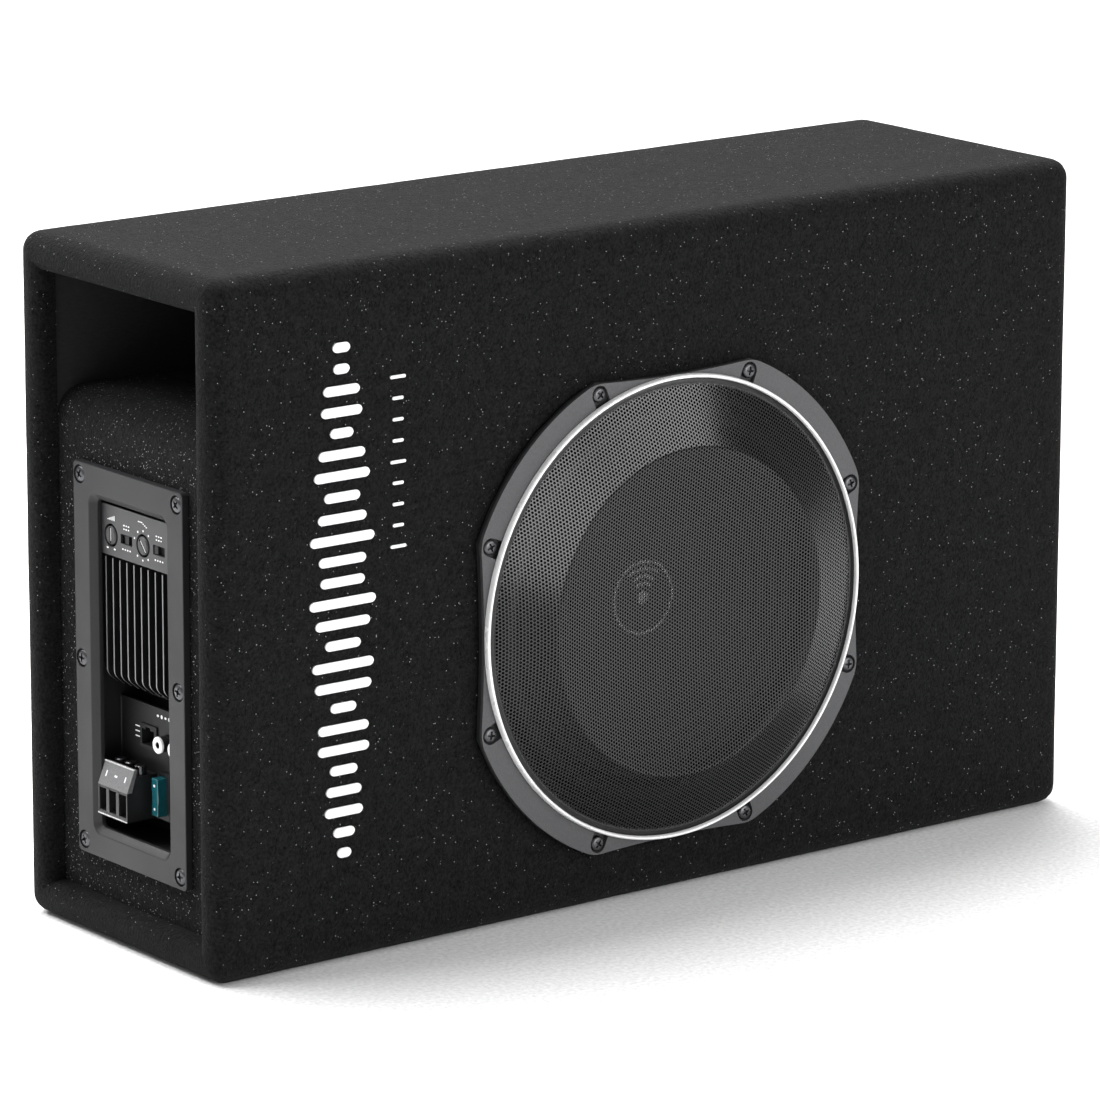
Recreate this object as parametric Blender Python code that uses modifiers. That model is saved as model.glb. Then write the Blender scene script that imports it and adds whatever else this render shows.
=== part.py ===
"""Powered car subwoofer: a carpeted, slot-ported box with a shallow 10 inch driver behind a
perforated grille, and an amplifier panel set into a recess at the left end.

Frame: +X to the right along the box, -Y out of the front face, +Z up, z = 0 on the floor.
The origin is under the middle of the overall box. All values are in metres.
"""
import math

import bmesh
import bpy
from mathutils import Matrix, Vector

# ---------------------------------------------------------------- driving dimensions
WIDTH = 0.546
DEPTH = 0.169
HEIGHT = 0.348
GRILLE_PROUD = 0.0192
EDGE_RADIUS = 0.010
MOUTH_RADIUS = 0.007
CARPET = 0.0015
BOARD = 0.015
GAP = 0.0003
RECESS = 0.012
PORT_FLOOR_Z = 0.2705
PORT_FLOOR_END_X = 0.198
PORT_RETURN_LOW_Z = 0.095
PORT_CARPET_LENGTH = 0.060

DRIVER_X = 0.0025
DRIVER_Z = 0.150
BOLT_RADIUS = 0.1246
TRIM_RADIUS = 0.131
TRIM_FLAT_SAG = 0.0018
RING_RADIUS = 0.1193
CUTOUT_RADIUS = 0.1135
DRIVER_SCREWS = 8
CONE_SEGMENTS = 36
HOLE_SEGMENTS = 36

PANEL_SPAN_Y = 0.0945
PANEL_LOW_Z = 0.039
PANEL_HIGH_Z = 0.238
WINDOW_SPAN_Y = 0.0676
WINDOW_LOW_Z = 0.051
WINDOW_HIGH_Z = 0.224
CHAMFER = 0.0032
BEZEL_THICKNESS = 0.0037
FIN_COUNT = 10
FIN_PITCH = 0.00615
FIN_THICKNESS = 0.0015
POLE_COUNT = 3
POLE_PITCH = 0.0086

# ---------------------------------------------------------------- derived places
LEFT_X = -WIDTH / 2
RIGHT_X = WIDTH / 2
BACK_Y = (DEPTH + GRILLE_PROUD) / 2
FRONT_Y = BACK_Y - DEPTH
SKIN = CARPET + GAP
WALL = SKIN + BOARD + SKIN
WOOD_RADIUS = EDGE_RADIUS - CARPET + GAP
INNER_FRONT_Y = FRONT_Y + SKIN + BOARD + GAP
INNER_BACK_Y = BACK_Y - SKIN - BOARD - GAP
INNER_LOW_Z = SKIN + BOARD + GAP
INNER_HIGH_Z = HEIGHT - SKIN - BOARD - GAP
BAFFLE_X = LEFT_X + RECESS + SKIN
PANEL_Y = FRONT_Y + DEPTH / 2 + 0.0006
BEZEL_FACE_X = LEFT_X + RECESS - GAP - BEZEL_THICKNESS

# ---------------------------------------------------------------- scene
for old in list(bpy.data.objects):
    bpy.data.objects.remove(old, do_unlink=True)


def new_collection(name):
    collection = bpy.data.collections.new(name)
    bpy.context.scene.collection.children.link(collection)
    return collection


PARTS = new_collection("powered_car_subwoofer")
CUTTERS = new_collection("cutters")


def material(name, colour, roughness, metallic=0.0):
    result = bpy.data.materials.new(name)
    result.use_nodes = True
    shader = result.node_tree.nodes["Principled BSDF"]
    shader.inputs["Base Color"].default_value = (*colour, 1.0)
    shader.inputs["Roughness"].default_value = roughness
    shader.inputs["Metallic"].default_value = metallic
    return result


CARPET_BLACK = (0.018, 0.018, 0.020)
MDF = (0.45, 0.33, 0.21)
BLACK_PLASTIC = (0.02, 0.02, 0.022)
PANEL_GREY = (0.105, 0.105, 0.11)


def add_object(name, mesh, look, smooth=False):
    """One named object with its own material, in the collection of parts."""
    obj = bpy.data.objects.new(name, mesh)
    PARTS.objects.link(obj)
    if look is not None:
        obj.data.materials.append(material(name + "_finish", *look))
    if smooth:
        obj.data.shade_smooth()
        obj.data.set_sharp_from_angle(angle=math.radians(35))
    return obj


def mesh_from(bm, name):
    mesh = bpy.data.meshes.new(name)
    bm.to_mesh(mesh)
    bm.free()
    return mesh


def box_mesh(low, high):
    bm = bmesh.new()
    bmesh.ops.create_cube(bm, size=1.0)
    size = Vector(high) - Vector(low)
    middle = (Vector(high) + Vector(low)) / 2
    bm.transform(Matrix.Translation(middle) @ Matrix.Diagonal((*size, 1.0)))
    return bm


def box(name, low, high, look):
    return add_object(name, mesh_from(box_mesh(low, high), name), look)


def bevel(obj, width, segments=2, angle=40):
    modifier = obj.modifiers.new("edges", "BEVEL")
    modifier.width = width
    modifier.segments = segments
    modifier.limit_method = "ANGLE"
    modifier.angle_limit = math.radians(angle)
    return obj


def as_cutter(obj):
    """Move an object to the cutters' collection, where it only shapes other pieces."""
    for collection in list(obj.users_collection):
        collection.objects.unlink(obj)
    CUTTERS.objects.link(obj)
    obj.hide_render = True
    obj.display_type = "WIRE"
    return obj


def boolean(obj, tool, operation="DIFFERENCE"):
    modifier = obj.modifiers.new("cut_" + tool.name[:40], "BOOLEAN")
    modifier.operation = operation
    modifier.solver = "EXACT"
    modifier.object = tool
    return obj


def box_cutter(name, low, high):
    return as_cutter(box(name, low, high, None))


# ---------------------------------------------------------------- turned and extruded shapes
AXES = {
    "front": Matrix.Rotation(math.radians(90), 4, "X"),
    "left": Matrix.Rotation(math.radians(-90), 4, "Y"),
    "up": Matrix.Identity(4),
}


def turned(name, profile, origin, direction, look, segments=24, closed=True):
    """A profile of (radius, height) points turned about an axis through origin. Height runs
    along the direction, and the profile goes down its outer side."""
    bm = bmesh.new()
    verts = [bm.verts.new((radius, 0.0, height)) for radius, height in profile]
    pairs = list(zip(verts, verts[1:]))
    if closed:
        pairs.append((verts[-1], verts[0]))
    for first, second in pairs:
        bm.edges.new((first, second))
    obj = add_object(name, mesh_from(bm, name), look)
    obj.matrix_world = Matrix.Translation(origin) @ AXES[direction]
    screw = obj.modifiers.new("turn", "SCREW")
    screw.angle = 2 * math.pi
    screw.steps = segments
    screw.render_steps = segments
    screw.use_merge_vertices = True
    screw.merge_threshold = 1e-5
    screw.use_smooth_shade = True
    return obj


def rod_cutter(name, radius, low, high, origin, direction, segments=24):
    profile = [(0.0, high), (radius, high), (radius, low), (0.0, low)]
    obj = turned(name, profile, origin, direction, None, segments, closed=False)
    return as_cutter(obj)


def flat_solid(name, outlines, low, high, direction, origin, look):
    """Flat outlines (the first is outside, the others are holes) extruded from low to high
    along the direction."""
    curve = bpy.data.curves.new(name + "_outline", "CURVE")
    curve.dimensions = "2D"
    curve.fill_mode = "BOTH"
    curve.extrude = (high - low) / 2
    for outline in outlines:
        spline = curve.splines.new("POLY")
        spline.points.add(len(outline) - 1)
        for point, (a, b) in zip(spline.points, outline):
            point.co = (a, b, 0.0, 1.0)
        spline.use_cyclic_u = True
    source = bpy.data.objects.new(name + "_outline", curve)
    PARTS.objects.link(source)
    source.matrix_world = (
        Matrix.Translation(origin) @ AXES[direction] @ Matrix.Translation((0, 0, (low + high) / 2))
    )
    bpy.context.view_layer.update()
    evaluated = source.evaluated_get(bpy.context.evaluated_depsgraph_get())
    mesh = bpy.data.meshes.new_from_object(evaluated)
    bm = bmesh.new()
    bm.from_mesh(mesh)
    bmesh.ops.remove_doubles(bm, verts=bm.verts, dist=1e-6)
    bm.to_mesh(mesh)
    bm.free()
    mesh.materials.clear()
    obj = add_object(name, mesh, look)
    obj.matrix_world = source.matrix_world
    bpy.data.objects.remove(source, do_unlink=True)
    bpy.data.curves.remove(curve)
    return obj


def arc(centre, radius, start, end, steps):
    """Points on an arc, angles in degrees, both ends included."""
    points = []
    for i in range(steps + 1):
        angle = math.radians(start + (end - start) * i / steps)
        points.append((centre[0] + radius * math.cos(angle), centre[1] + radius * math.sin(angle)))
    return points


def rounded_rectangle(low, high, radius, steps=4):
    """A closed outline, counter-clockwise, of a rectangle with round corners."""
    corners = [
        ((high[0] - radius, low[1] + radius), -90),
        ((high[0] - radius, high[1] - radius), 0),
        ((low[0] + radius, high[1] - radius), 90),
        ((low[0] + radius, low[1] + radius), 180),
    ]
    points = []
    for centre, start in corners:
        points += arc(centre, radius, start, start + 90, steps)
    return points


def loft(name, rows, look, smooth=True):
    """A closed solid from rows of matching closed rings, capped at the first and last row."""
    bm = bmesh.new()
    grid = [[bm.verts.new(point) for point in row] for row in rows]
    count = len(rows[0])
    for first, second in zip(grid, grid[1:]):
        for j in range(count):
            k = (j + 1) % count
            bm.faces.new((first[j], first[k], second[k], second[j]))
    bm.faces.new(list(reversed(grid[0])))
    bm.faces.new(grid[-1])
    bmesh.ops.recalc_face_normals(bm, faces=bm.faces)
    return add_object(name, mesh_from(bm, name), look, smooth)


# ---------------------------------------------------------------- wooden box
def wood_block():
    """The outer shape of the wooden box, which rounds every outer panel."""
    low = (LEFT_X + SKIN, FRONT_Y + SKIN, SKIN)
    high = (RIGHT_X - SKIN, BACK_Y - SKIN, HEIGHT - SKIN)
    block = box_cutter("wood_block", low, high)
    return bevel(block, WOOD_RADIUS, 3)


def mouth_panel(name, low, high, edge_at, edge_axis):
    """A wall of the box whose inner edge at the open left end is rounded."""
    bm = box_mesh(low, high)
    radius = MOUTH_RADIUS - SKIN
    for edge in list(bm.edges):
        middle = (edge.verts[0].co + edge.verts[1].co) / 2
        along = (edge.verts[1].co - edge.verts[0].co).normalized()
        at_left = abs(middle.x - low[0]) < 1e-6
        inner_axis = 2 if edge_axis == 1 else 1
        at_inner = abs(middle[inner_axis] - edge_at) < 1e-6
        if at_left and at_inner and abs(along[edge_axis]) > 0.9:
            bmesh.ops.bevel(bm, geom=[edge], offset=radius, segments=4, profile=0.5, affect="EDGES")
            break
    return add_object(name, mesh_from(bm, name), MDF_LOOK)


MDF_LOOK = (MDF, 0.75)
block = wood_block()
out_x = (LEFT_X + SKIN, RIGHT_X - SKIN)
out_y = (FRONT_Y + SKIN, BACK_Y - SKIN)
out_z = (SKIN, HEIGHT - SKIN)
board_low_z = SKIN + BOARD
board_high_z = HEIGHT - SKIN - BOARD

panels = [
    mouth_panel("top_panel", (out_x[0], out_y[0], board_high_z), (out_x[1], out_y[1], out_z[1]),
                board_high_z, 1),
    mouth_panel("bottom_panel", (out_x[0], out_y[0], out_z[0]), (out_x[1], out_y[1], board_low_z),
                board_low_z, 1),
    mouth_panel("front_baffle", (out_x[0], out_y[0], INNER_LOW_Z),
                (out_x[1], out_y[0] + BOARD, INNER_HIGH_Z), out_y[0] + BOARD, 2),
    mouth_panel("rear_panel", (out_x[0], out_y[1] - BOARD, INNER_LOW_Z),
                (out_x[1], out_y[1], INNER_HIGH_Z), out_y[1] - BOARD, 2),
    box("right_end_panel", (out_x[1] - BOARD, INNER_FRONT_Y, INNER_LOW_Z),
        (out_x[1], INNER_BACK_Y, INNER_HIGH_Z), MDF_LOOK),
]
for panel in panels:
    boolean(panel, block, "INTERSECT")

driver_axis = Vector((DRIVER_X, FRONT_Y, DRIVER_Z))
baffle_hole = rod_cutter("baffle_hole", CUTOUT_RADIUS, -0.03, 0.01, driver_axis, "front",
                         HOLE_SEGMENTS)
front_baffle = panels[2]
boolean(front_baffle, baffle_hole)

LIP_RADIUS = BOARD - 0.001
port_floor_high = PORT_FLOOR_Z - SKIN
port_floor_low = port_floor_high - BOARD
floor_outline = [(PORT_FLOOR_END_X, port_floor_low), (PORT_FLOOR_END_X, port_floor_high)]
floor_outline += arc((BAFFLE_X + LIP_RADIUS, port_floor_high - LIP_RADIUS), LIP_RADIUS, 90, 180, 5)
floor_outline.append((BAFFLE_X, port_floor_low))
# the outline is drawn in X and Z, so it is extruded along the front direction
flat_solid("port_floor", [floor_outline], -INNER_BACK_Y, -INNER_FRONT_Y, "front",
           Vector((0, 0, 0)), MDF_LOOK)

box("port_return", (PORT_FLOOR_END_X - BOARD, INNER_FRONT_Y, PORT_RETURN_LOW_Z),
    (PORT_FLOOR_END_X, INNER_BACK_Y, port_floor_low - GAP), MDF_LOOK)

amp_baffle = box("amp_baffle", (BAFFLE_X, INNER_FRONT_Y, INNER_LOW_Z),
                 (BAFFLE_X + BOARD, INNER_BACK_Y, port_floor_low - GAP), MDF_LOOK)
HOUSING_Y = (PANEL_Y - 0.0385, PANEL_Y + 0.0385)
HOUSING_Z = (WINDOW_LOW_Z - 0.0035, WINDOW_HIGH_Z + 0.0035)
amp_hole = box_cutter("amp_hole", (LEFT_X - 0.01, HOUSING_Y[0] - GAP, HOUSING_Z[0] - GAP),
                      (BAFFLE_X + BOARD + 0.01, HOUSING_Y[1] + GAP, HOUSING_Z[1] + GAP))
boolean(amp_baffle, amp_hole)

# ---------------------------------------------------------------- carpet
CARPET_LOOK = (CARPET_BLACK, 0.95)
END_SEAM = 0.014
SEAM_Z = WALL + 0.004


def carpet_section():
    """The sheet's section as (x, distance in from the outer surface): over the right edge,
    along the box, round the wall's left end and into the recess, then back underneath."""
    lining_x = LEFT_X + RECESS - GAP
    mouth_centre = (LEFT_X + MOUTH_RADIUS, WALL - MOUTH_RADIUS)
    left_centre = (LEFT_X + EDGE_RADIUS, EDGE_RADIUS)
    right_centre = (RIGHT_X - EDGE_RADIUS, EDGE_RADIUS)
    outside = [(RIGHT_X, END_SEAM)]
    outside += arc(right_centre, EDGE_RADIUS, 0, -90, 3)
    outside += arc(left_centre, EDGE_RADIUS, 270, 180, 3)
    outside += arc(mouth_centre, MOUTH_RADIUS, 180, 90, 3)
    outside.append((lining_x, WALL))
    inside = [(lining_x, WALL - CARPET)]
    inside += arc(mouth_centre, MOUTH_RADIUS - CARPET, 90, 180, 3)
    inside += arc(left_centre, EDGE_RADIUS - CARPET, 180, 270, 3)
    inside += arc(right_centre, EDGE_RADIUS - CARPET, -90, 0, 3)
    inside.append((RIGHT_X - CARPET, END_SEAM))
    return outside + inside


def path_points(offset, over_top):
    """Places round the box at a distance in from its outer surface, from one seam to the
    other: over the top from front to back, or underneath from back to front."""
    radius = max(EDGE_RADIUS - offset, 0.001)
    low = (FRONT_Y + offset, offset)
    high = (BACK_Y - offset, HEIGHT - offset)
    top_front = arc((low[0] + radius, high[1] - radius), radius, 180, 90, 3)
    top_back = arc((high[0] - radius, high[1] - radius), radius, 90, 0, 3)
    low_back = arc((high[0] - radius, low[1] + radius), radius, 0, -90, 3)
    low_front = arc((low[0] + radius, low[1] + radius), radius, -90, -180, 3)
    if over_top:
        return [(low[0], SEAM_Z + GAP / 2)] + top_front + top_back + [(high[0], SEAM_Z + GAP / 2)]
    return [(high[0], SEAM_Z - GAP / 2)] + low_back + low_front + [(low[0], SEAM_Z - GAP / 2)]


def carpet_sheet(name, over_top):
    section = carpet_section()
    lanes = [path_points(offset, over_top) for _, offset in section]
    rows = []
    for i in range(len(lanes[0])):
        rows.append([(x, *lane[i]) for (x, _), lane in zip(section, lanes)])
    return loft(name, rows, CARPET_LOOK)


carpet_wrap = carpet_sheet("carpet_wrap", True)
carpet_bottom = carpet_sheet("carpet_bottom", False)
carpet_hole = rod_cutter("carpet_hole", CUTOUT_RADIUS + GAP, -0.01, 0.01, driver_axis, "front",
                         HOLE_SEGMENTS)
boolean(carpet_wrap, carpet_hole)

box("carpet_end", (RIGHT_X - CARPET, FRONT_Y + END_SEAM + GAP, END_SEAM + GAP),
    (RIGHT_X, BACK_Y - END_SEAM - GAP, HEIGHT - END_SEAM - GAP), CARPET_LOOK)

lip_outer = LIP_RADIUS + SKIN
lip_centre = (BAFFLE_X + LIP_RADIUS, port_floor_high - LIP_RADIUS)
recess_low = INNER_LOW_Z
recess_outline = [(LEFT_X + RECESS + CARPET, recess_low), (LEFT_X + RECESS, recess_low)]
recess_outline += arc(lip_centre, lip_outer, 180, 90, 6)
recess_outline.append((LEFT_X + RECESS + PORT_CARPET_LENGTH, PORT_FLOOR_Z))
recess_outline.append((LEFT_X + RECESS + PORT_CARPET_LENGTH, PORT_FLOOR_Z - CARPET))
recess_outline += arc(lip_centre, lip_outer - CARPET, 90, 180, 6)
carpet_recess = flat_solid("carpet_recess", [recess_outline], -INNER_BACK_Y, -INNER_FRONT_Y,
                           "front", Vector((0, 0, 0)), CARPET_LOOK)
boolean(carpet_recess, amp_hole)

# ---------------------------------------------------------------- driver: fixed pieces
STEEL_BLACK = ((0.03, 0.03, 0.032), 0.45, 0.6)
SCREW_LOOK = ((0.05, 0.05, 0.055), 0.35, 0.9)


def trim_outline(radius, sag, steps=5):
    """A circle cut by four slightly hollow flats, at the left, right, top and bottom."""
    points = []
    for quarter in range(4):
        start = 22.5 + 90 * quarter
        points += arc((0, 0), radius, start, start + 45, steps)
        first = Vector(points[-1])
        angle = math.radians(start + 90)
        last = Vector((radius * math.cos(angle), radius * math.sin(angle)))
        inward = -((first + last) / 2).normalized()
        for i in range(1, steps):
            t = i / steps
            points.append(tuple(first.lerp(last, t) + inward * sag * 4 * t * (1 - t)))
    return points


def circle_outline(radius, steps):
    return arc((0, 0), radius, 0, 360 * (steps - 1) / steps, steps - 1)


def screw_places():
    for i in range(DRIVER_SCREWS):
        angle = math.radians(22.5 + 45 * i)
        yield i, angle, Vector((DRIVER_X + BOLT_RADIUS * math.cos(angle), FRONT_Y,
                                DRIVER_Z + BOLT_RADIUS * math.sin(angle)))


GASKET_TOP = 0.0013
FLANGE_TOP = 0.0036
TRIM_LOW = FLANGE_TOP + GAP
TRIM_TOP = 0.0058

gasket = flat_solid("mounting_gasket", [trim_outline(TRIM_RADIUS - 0.001, TRIM_FLAT_SAG),
                                        circle_outline(0.1165, HOLE_SEGMENTS)],
                    GAP, GASKET_TOP, "front", driver_axis, ((0.01, 0.01, 0.01), 0.9))

flange_low = GASKET_TOP + GAP
basket_profile = [
    (0.1125, FLANGE_TOP),
    (TRIM_RADIUS, FLANGE_TOP),
    (TRIM_RADIUS, flange_low),
    (0.1128, flange_low),
    (0.1120, -0.006),
    (0.1028, -0.0165),
    (0.0900, -0.0330),
    (0.0740, -0.0425),
    (0.0700, -0.0437),
    (0.0420, -0.0437),
    (0.0420, -0.0417),
    (0.0690, -0.0417),
    (0.0725, -0.0405),
    (0.0880, -0.0315),
    (0.1010, -0.0150),
    (0.1035, -0.0058),
    (0.1092, -0.0054),
    (0.1100, -0.0010),
]
basket = turned("basket", basket_profile, driver_axis, "front", STEEL_BLACK, CONE_SEGMENTS)
flange_block = as_cutter(
    flat_solid("flange_block", [trim_outline(TRIM_RADIUS, TRIM_FLAT_SAG)], -0.06, 0.02, "front",
               driver_axis, None))
boolean(basket, flange_block, "INTERSECT")
for leg in range(6):
    angle = math.radians(60 * leg)
    window = box("basket_window_%d" % (leg + 1), (0.078, -0.022, -0.0395), (0.099, 0.022, -0.020),
                 None)
    window.matrix_world = (
        Matrix.Translation(driver_axis) @ AXES["front"] @ Matrix.Rotation(angle, 4, "Z"))
    boolean(basket, as_cutter(window))

trim = flat_solid("trim_ring", [trim_outline(TRIM_RADIUS, TRIM_FLAT_SAG),
                                circle_outline(0.1135, 48)],
                  TRIM_LOW, TRIM_TOP, "front", driver_axis, ((0.06, 0.06, 0.063), 0.5))
NOTCH_RADIUS = 0.0047
for i, angle, place in screw_places():
    offset = Vector((math.cos(angle), 0, math.sin(angle)))
    notch = box("notch_%d" % (i + 1), (-0.0075, -NOTCH_RADIUS, -0.001), (0, NOTCH_RADIUS, 0.01), None)
    notch.matrix_world = (
        Matrix.Translation(place) @ AXES["front"] @ Matrix.Rotation(angle, 4, "Z"))
    boolean(trim, as_cutter(notch))
    round_end = rod_cutter("notch_end_%d" % (i + 1), NOTCH_RADIUS, 0.0, 0.01, place, "front", 12)
    boolean(trim, round_end)
    hole = rod_cutter("flange_hole_%d" % (i + 1), 0.0027, -0.002, 0.02, place, "front", 12)
    boolean(basket, hole)
    boolean(gasket, hole)
    pilot = rod_cutter("pilot_hole_%d" % (i + 1), 0.0023, -0.017, 0.02, place, "front", 12)
    boolean(front_baffle, pilot)
    boolean(carpet_wrap, pilot)

RING_LOW = TRIM_TOP + GAP
RING_TOP = 0.0092
ring_profile = [(0.1173, RING_TOP - 0.0006)]
ring_profile += [(0.1179, RING_TOP), (0.1186, RING_TOP), (RING_RADIUS, RING_TOP - 0.0007)]
ring_profile += [(RING_RADIUS, RING_LOW), (0.1173, RING_LOW)]
turned("grille_ring", ring_profile, driver_axis, "front", ((0.82, 0.82, 0.83), 0.2, 1.0), 56)

MESH_RADIUS = 0.1165
CREASE_RADIUS = 0.084
MESH_EDGE = 0.0075
MESH_THICKNESS = 0.0009
DISH_DEPTH = 0.0065


def grille_height(radius):
    """Front surface of the grille above the box's front: a cone that rises to a crease, and
    a shallow dish inside it."""
    if radius >= CREASE_RADIUS:
        rise = (0.1135 - radius) / (0.1135 - CREASE_RADIUS)
        return MESH_EDGE + max(rise, 0.0) * (GRILLE_PROUD - MESH_EDGE)
    fall = 1 - (radius / CREASE_RADIUS) ** 2
    return GRILLE_PROUD - DISH_DEPTH * fall


stations = [0.0, 0.028, 0.050, 0.068, CREASE_RADIUS, 0.1135, MESH_RADIUS]
mesh_profile = [(radius, grille_height(radius)) for radius in stations]
mesh_profile += [(radius, grille_height(radius) - MESH_THICKNESS) for radius in reversed(stations)]
mesh_profile.insert(len(stations), (MESH_RADIUS, TRIM_TOP + GAP))
mesh_profile.insert(len(stations) + 1, (MESH_RADIUS - 0.002, TRIM_TOP + GAP))
turned("grille_mesh", mesh_profile, driver_axis, "front", ((0.05, 0.05, 0.052), 0.4, 0.7), 44,
       closed=False)

# ---------------------------------------------------------------- driver: motor
PLATE_TOP = -0.0440
PLATE_LOW = -0.0520
MAGNET_LOW = -0.0680
YOKE_LOW = -0.0760
GAP_RADIUS = 0.0345
turned("top_plate", [(GAP_RADIUS, PLATE_TOP), (0.066, PLATE_TOP), (0.066, PLATE_LOW),
                     (GAP_RADIUS, PLATE_LOW)],
       driver_axis, "front", ((0.35, 0.35, 0.36), 0.4, 1.0), 28)
turned("magnet", [(0.039, PLATE_LOW - GAP), (0.070, PLATE_LOW - GAP), (0.070, MAGNET_LOW),
                  (0.039, MAGNET_LOW)],
       driver_axis, "front", ((0.08, 0.08, 0.085), 0.6), 28)
turned("back_plate", [(0.010, PLATE_TOP), (0.0305, PLATE_TOP), (0.0305, MAGNET_LOW - GAP),
                      (0.066, MAGNET_LOW - GAP), (0.066, YOKE_LOW), (0.010, YOKE_LOW)],
       driver_axis, "front", ((0.35, 0.35, 0.36), 0.4, 1.0), 28)
terminals = box("driver_terminals", (-0.0120, 0.0950, -0.0420), (0.0120, 0.1010, -0.0300),
                (BLACK_PLASTIC, 0.5))
terminals.matrix_world = Matrix.Translation(driver_axis) @ AXES["front"]
bevel(terminals, 0.0008, 1)

# ---------------------------------------------------------------- driver: moving pieces
CONE_EDGE = -0.0050
CONE_NECK = -0.0215
CONE_RADIUS = 0.0860
NECK_RADIUS = 0.0335
PAPER = 0.0012


def cone_height(radius):
    """The cone's front surface: it falls to the neck, steeper near the edge."""
    share = (CONE_RADIUS - radius) / (CONE_RADIUS - NECK_RADIUS)
    return CONE_EDGE + (CONE_NECK - CONE_EDGE) * math.sin(share * math.pi / 2)


cone_stations = [CONE_RADIUS, 0.0740, 0.0600, 0.0470, NECK_RADIUS]
cone_profile = [(radius, cone_height(radius)) for radius in reversed(cone_stations)]
cone_profile += [(0.0900, CONE_EDGE), (0.0900, CONE_EDGE - PAPER)]
cone_profile += [(radius, cone_height(radius) - PAPER) for radius in cone_stations]
turned("cone", cone_profile, driver_axis, "front", ((0.03, 0.03, 0.032), 0.55), CONE_SEGMENTS)

CAP_RADIUS = 0.0460
CAP_DISH = 0.0015
CAP_RIM = cone_height(CAP_RADIUS) + 0.0008 + PAPER


def cap_height(radius):
    """The dust cap's front, slightly dished towards its middle."""
    return CAP_RIM - CAP_DISH * (1 - (radius / CAP_RADIUS) ** 2)


cap_stations = [0.0, 0.024, CAP_RADIUS]
cap_profile = [(radius, cap_height(radius)) for radius in cap_stations]
cap_profile += [(radius, cap_height(radius) - PAPER) for radius in reversed(cap_stations)]
turned("dust_cap", cap_profile, driver_axis, "front", ((0.02, 0.02, 0.022), 0.35), 28,
       closed=False)

COIL_LOW = -0.0540
turned("voice_coil", [(0.0318, CONE_NECK), (0.0330, CONE_NECK), (0.0330, COIL_LOW),
                      (0.0318, COIL_LOW)],
       driver_axis, "front", ((0.60, 0.30, 0.12), 0.4, 0.8), 28)

RUBBER = 0.0010
roll_low = CONE_EDGE + GAP
roll_centre = (0.0980, roll_low)
surround_profile = [(0.0870, roll_low), (0.0870, roll_low + RUBBER)]
surround_profile += arc(roll_centre, 0.0082, 172, 8, 6)
surround_profile += [(0.1088, roll_low + RUBBER), (0.1088, roll_low)]
surround_profile += arc(roll_centre, 0.0072, 0, 180, 6)
turned("surround", surround_profile, driver_axis, "front", ((0.015, 0.015, 0.015), 0.55),
       CONE_SEGMENTS)

SPIDER_HEIGHT = -0.0385
ripple = []
RIPPLES = 4
for i in range(2 * RIPPLES + 1):
    radius = 0.0340 + (0.0680 - 0.0340) * i / (2 * RIPPLES)
    ripple.append((radius, SPIDER_HEIGHT + (0.0009 if i % 2 else -0.0009)))
spider_profile = [(radius, height + 0.0004) for radius, height in ripple]
spider_profile += [(radius, height - 0.0004) for radius, height in reversed(ripple)]
turned("spider", spider_profile, driver_axis, "front", ((0.55, 0.42, 0.15), 0.9), 28)


# ---------------------------------------------------------------- screws
def screw_mesh_object(name, head_radius, head_height, shank_radius, shank_length, place,
                      direction, look, slot=0.5, segments=10):
    """A pan-head screw with a cross recess. Its seat is at place."""
    profile = [
        (0.0, head_height),
        (head_radius * 0.55, head_height),
        (head_radius * 0.9, head_height * 0.65),
        (head_radius, 0.0),
        (shank_radius, 0.0),
        (shank_radius, -shank_length),
        (0.0, -shank_length),
    ]
    screw = turned(name, profile, place, direction, look, segments, closed=False)
    arm = head_radius * slot
    for turn in (0, 90):
        cross = box(name + "_cross_%d" % turn, (-arm, -head_radius * 0.11, head_height * 0.35),
                    (arm, head_radius * 0.11, head_height * 2), None)
        cross.matrix_world = (
            Matrix.Translation(place) @ AXES[direction] @ Matrix.Rotation(math.radians(turn), 4, "Z"))
        boolean(screw, as_cutter(cross))
    return screw


for i, angle, place in screw_places():
    seat = place + Vector((0, -FLANGE_TOP - GAP, 0))
    screw_mesh_object("driver_screw_%d" % (i + 1), 0.0040, 0.0024, 0.0019, 0.0185, seat, "front",
                      SCREW_LOOK)

# ---------------------------------------------------------------- amplifier panel
PANEL_LOOK = (PANEL_GREY, 0.45)


def left_outline(low_y, high_y, low_z, high_z, radius, steps=3):
    """A rounded rectangle on a plane that faces left, in the plane's own (z, y) order."""
    return rounded_rectangle((low_z, low_y), (high_z, high_y), radius, steps)


def left_plate(name, span_y, span_z, low, high, radius, look, holes=(), steps=3):
    """A plate facing left, between two distances in from the bezel's face."""
    outlines = [left_outline(*span_y, *span_z, radius, steps)] + list(holes)
    return flat_solid(name, outlines, -high, -low, "left", Vector((BEZEL_FACE_X, 0, 0)), look)


WINDOW_Y = (PANEL_Y - WINDOW_SPAN_Y / 2, PANEL_Y + WINDOW_SPAN_Y / 2)
INNER_WINDOW_Y = (WINDOW_Y[0] + CHAMFER, WINDOW_Y[1] - CHAMFER)
INNER_WINDOW_Z = (WINDOW_LOW_Z + CHAMFER, WINDOW_HIGH_Z - CHAMFER)
COLLAR_DEPTH = 0.0052

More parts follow.
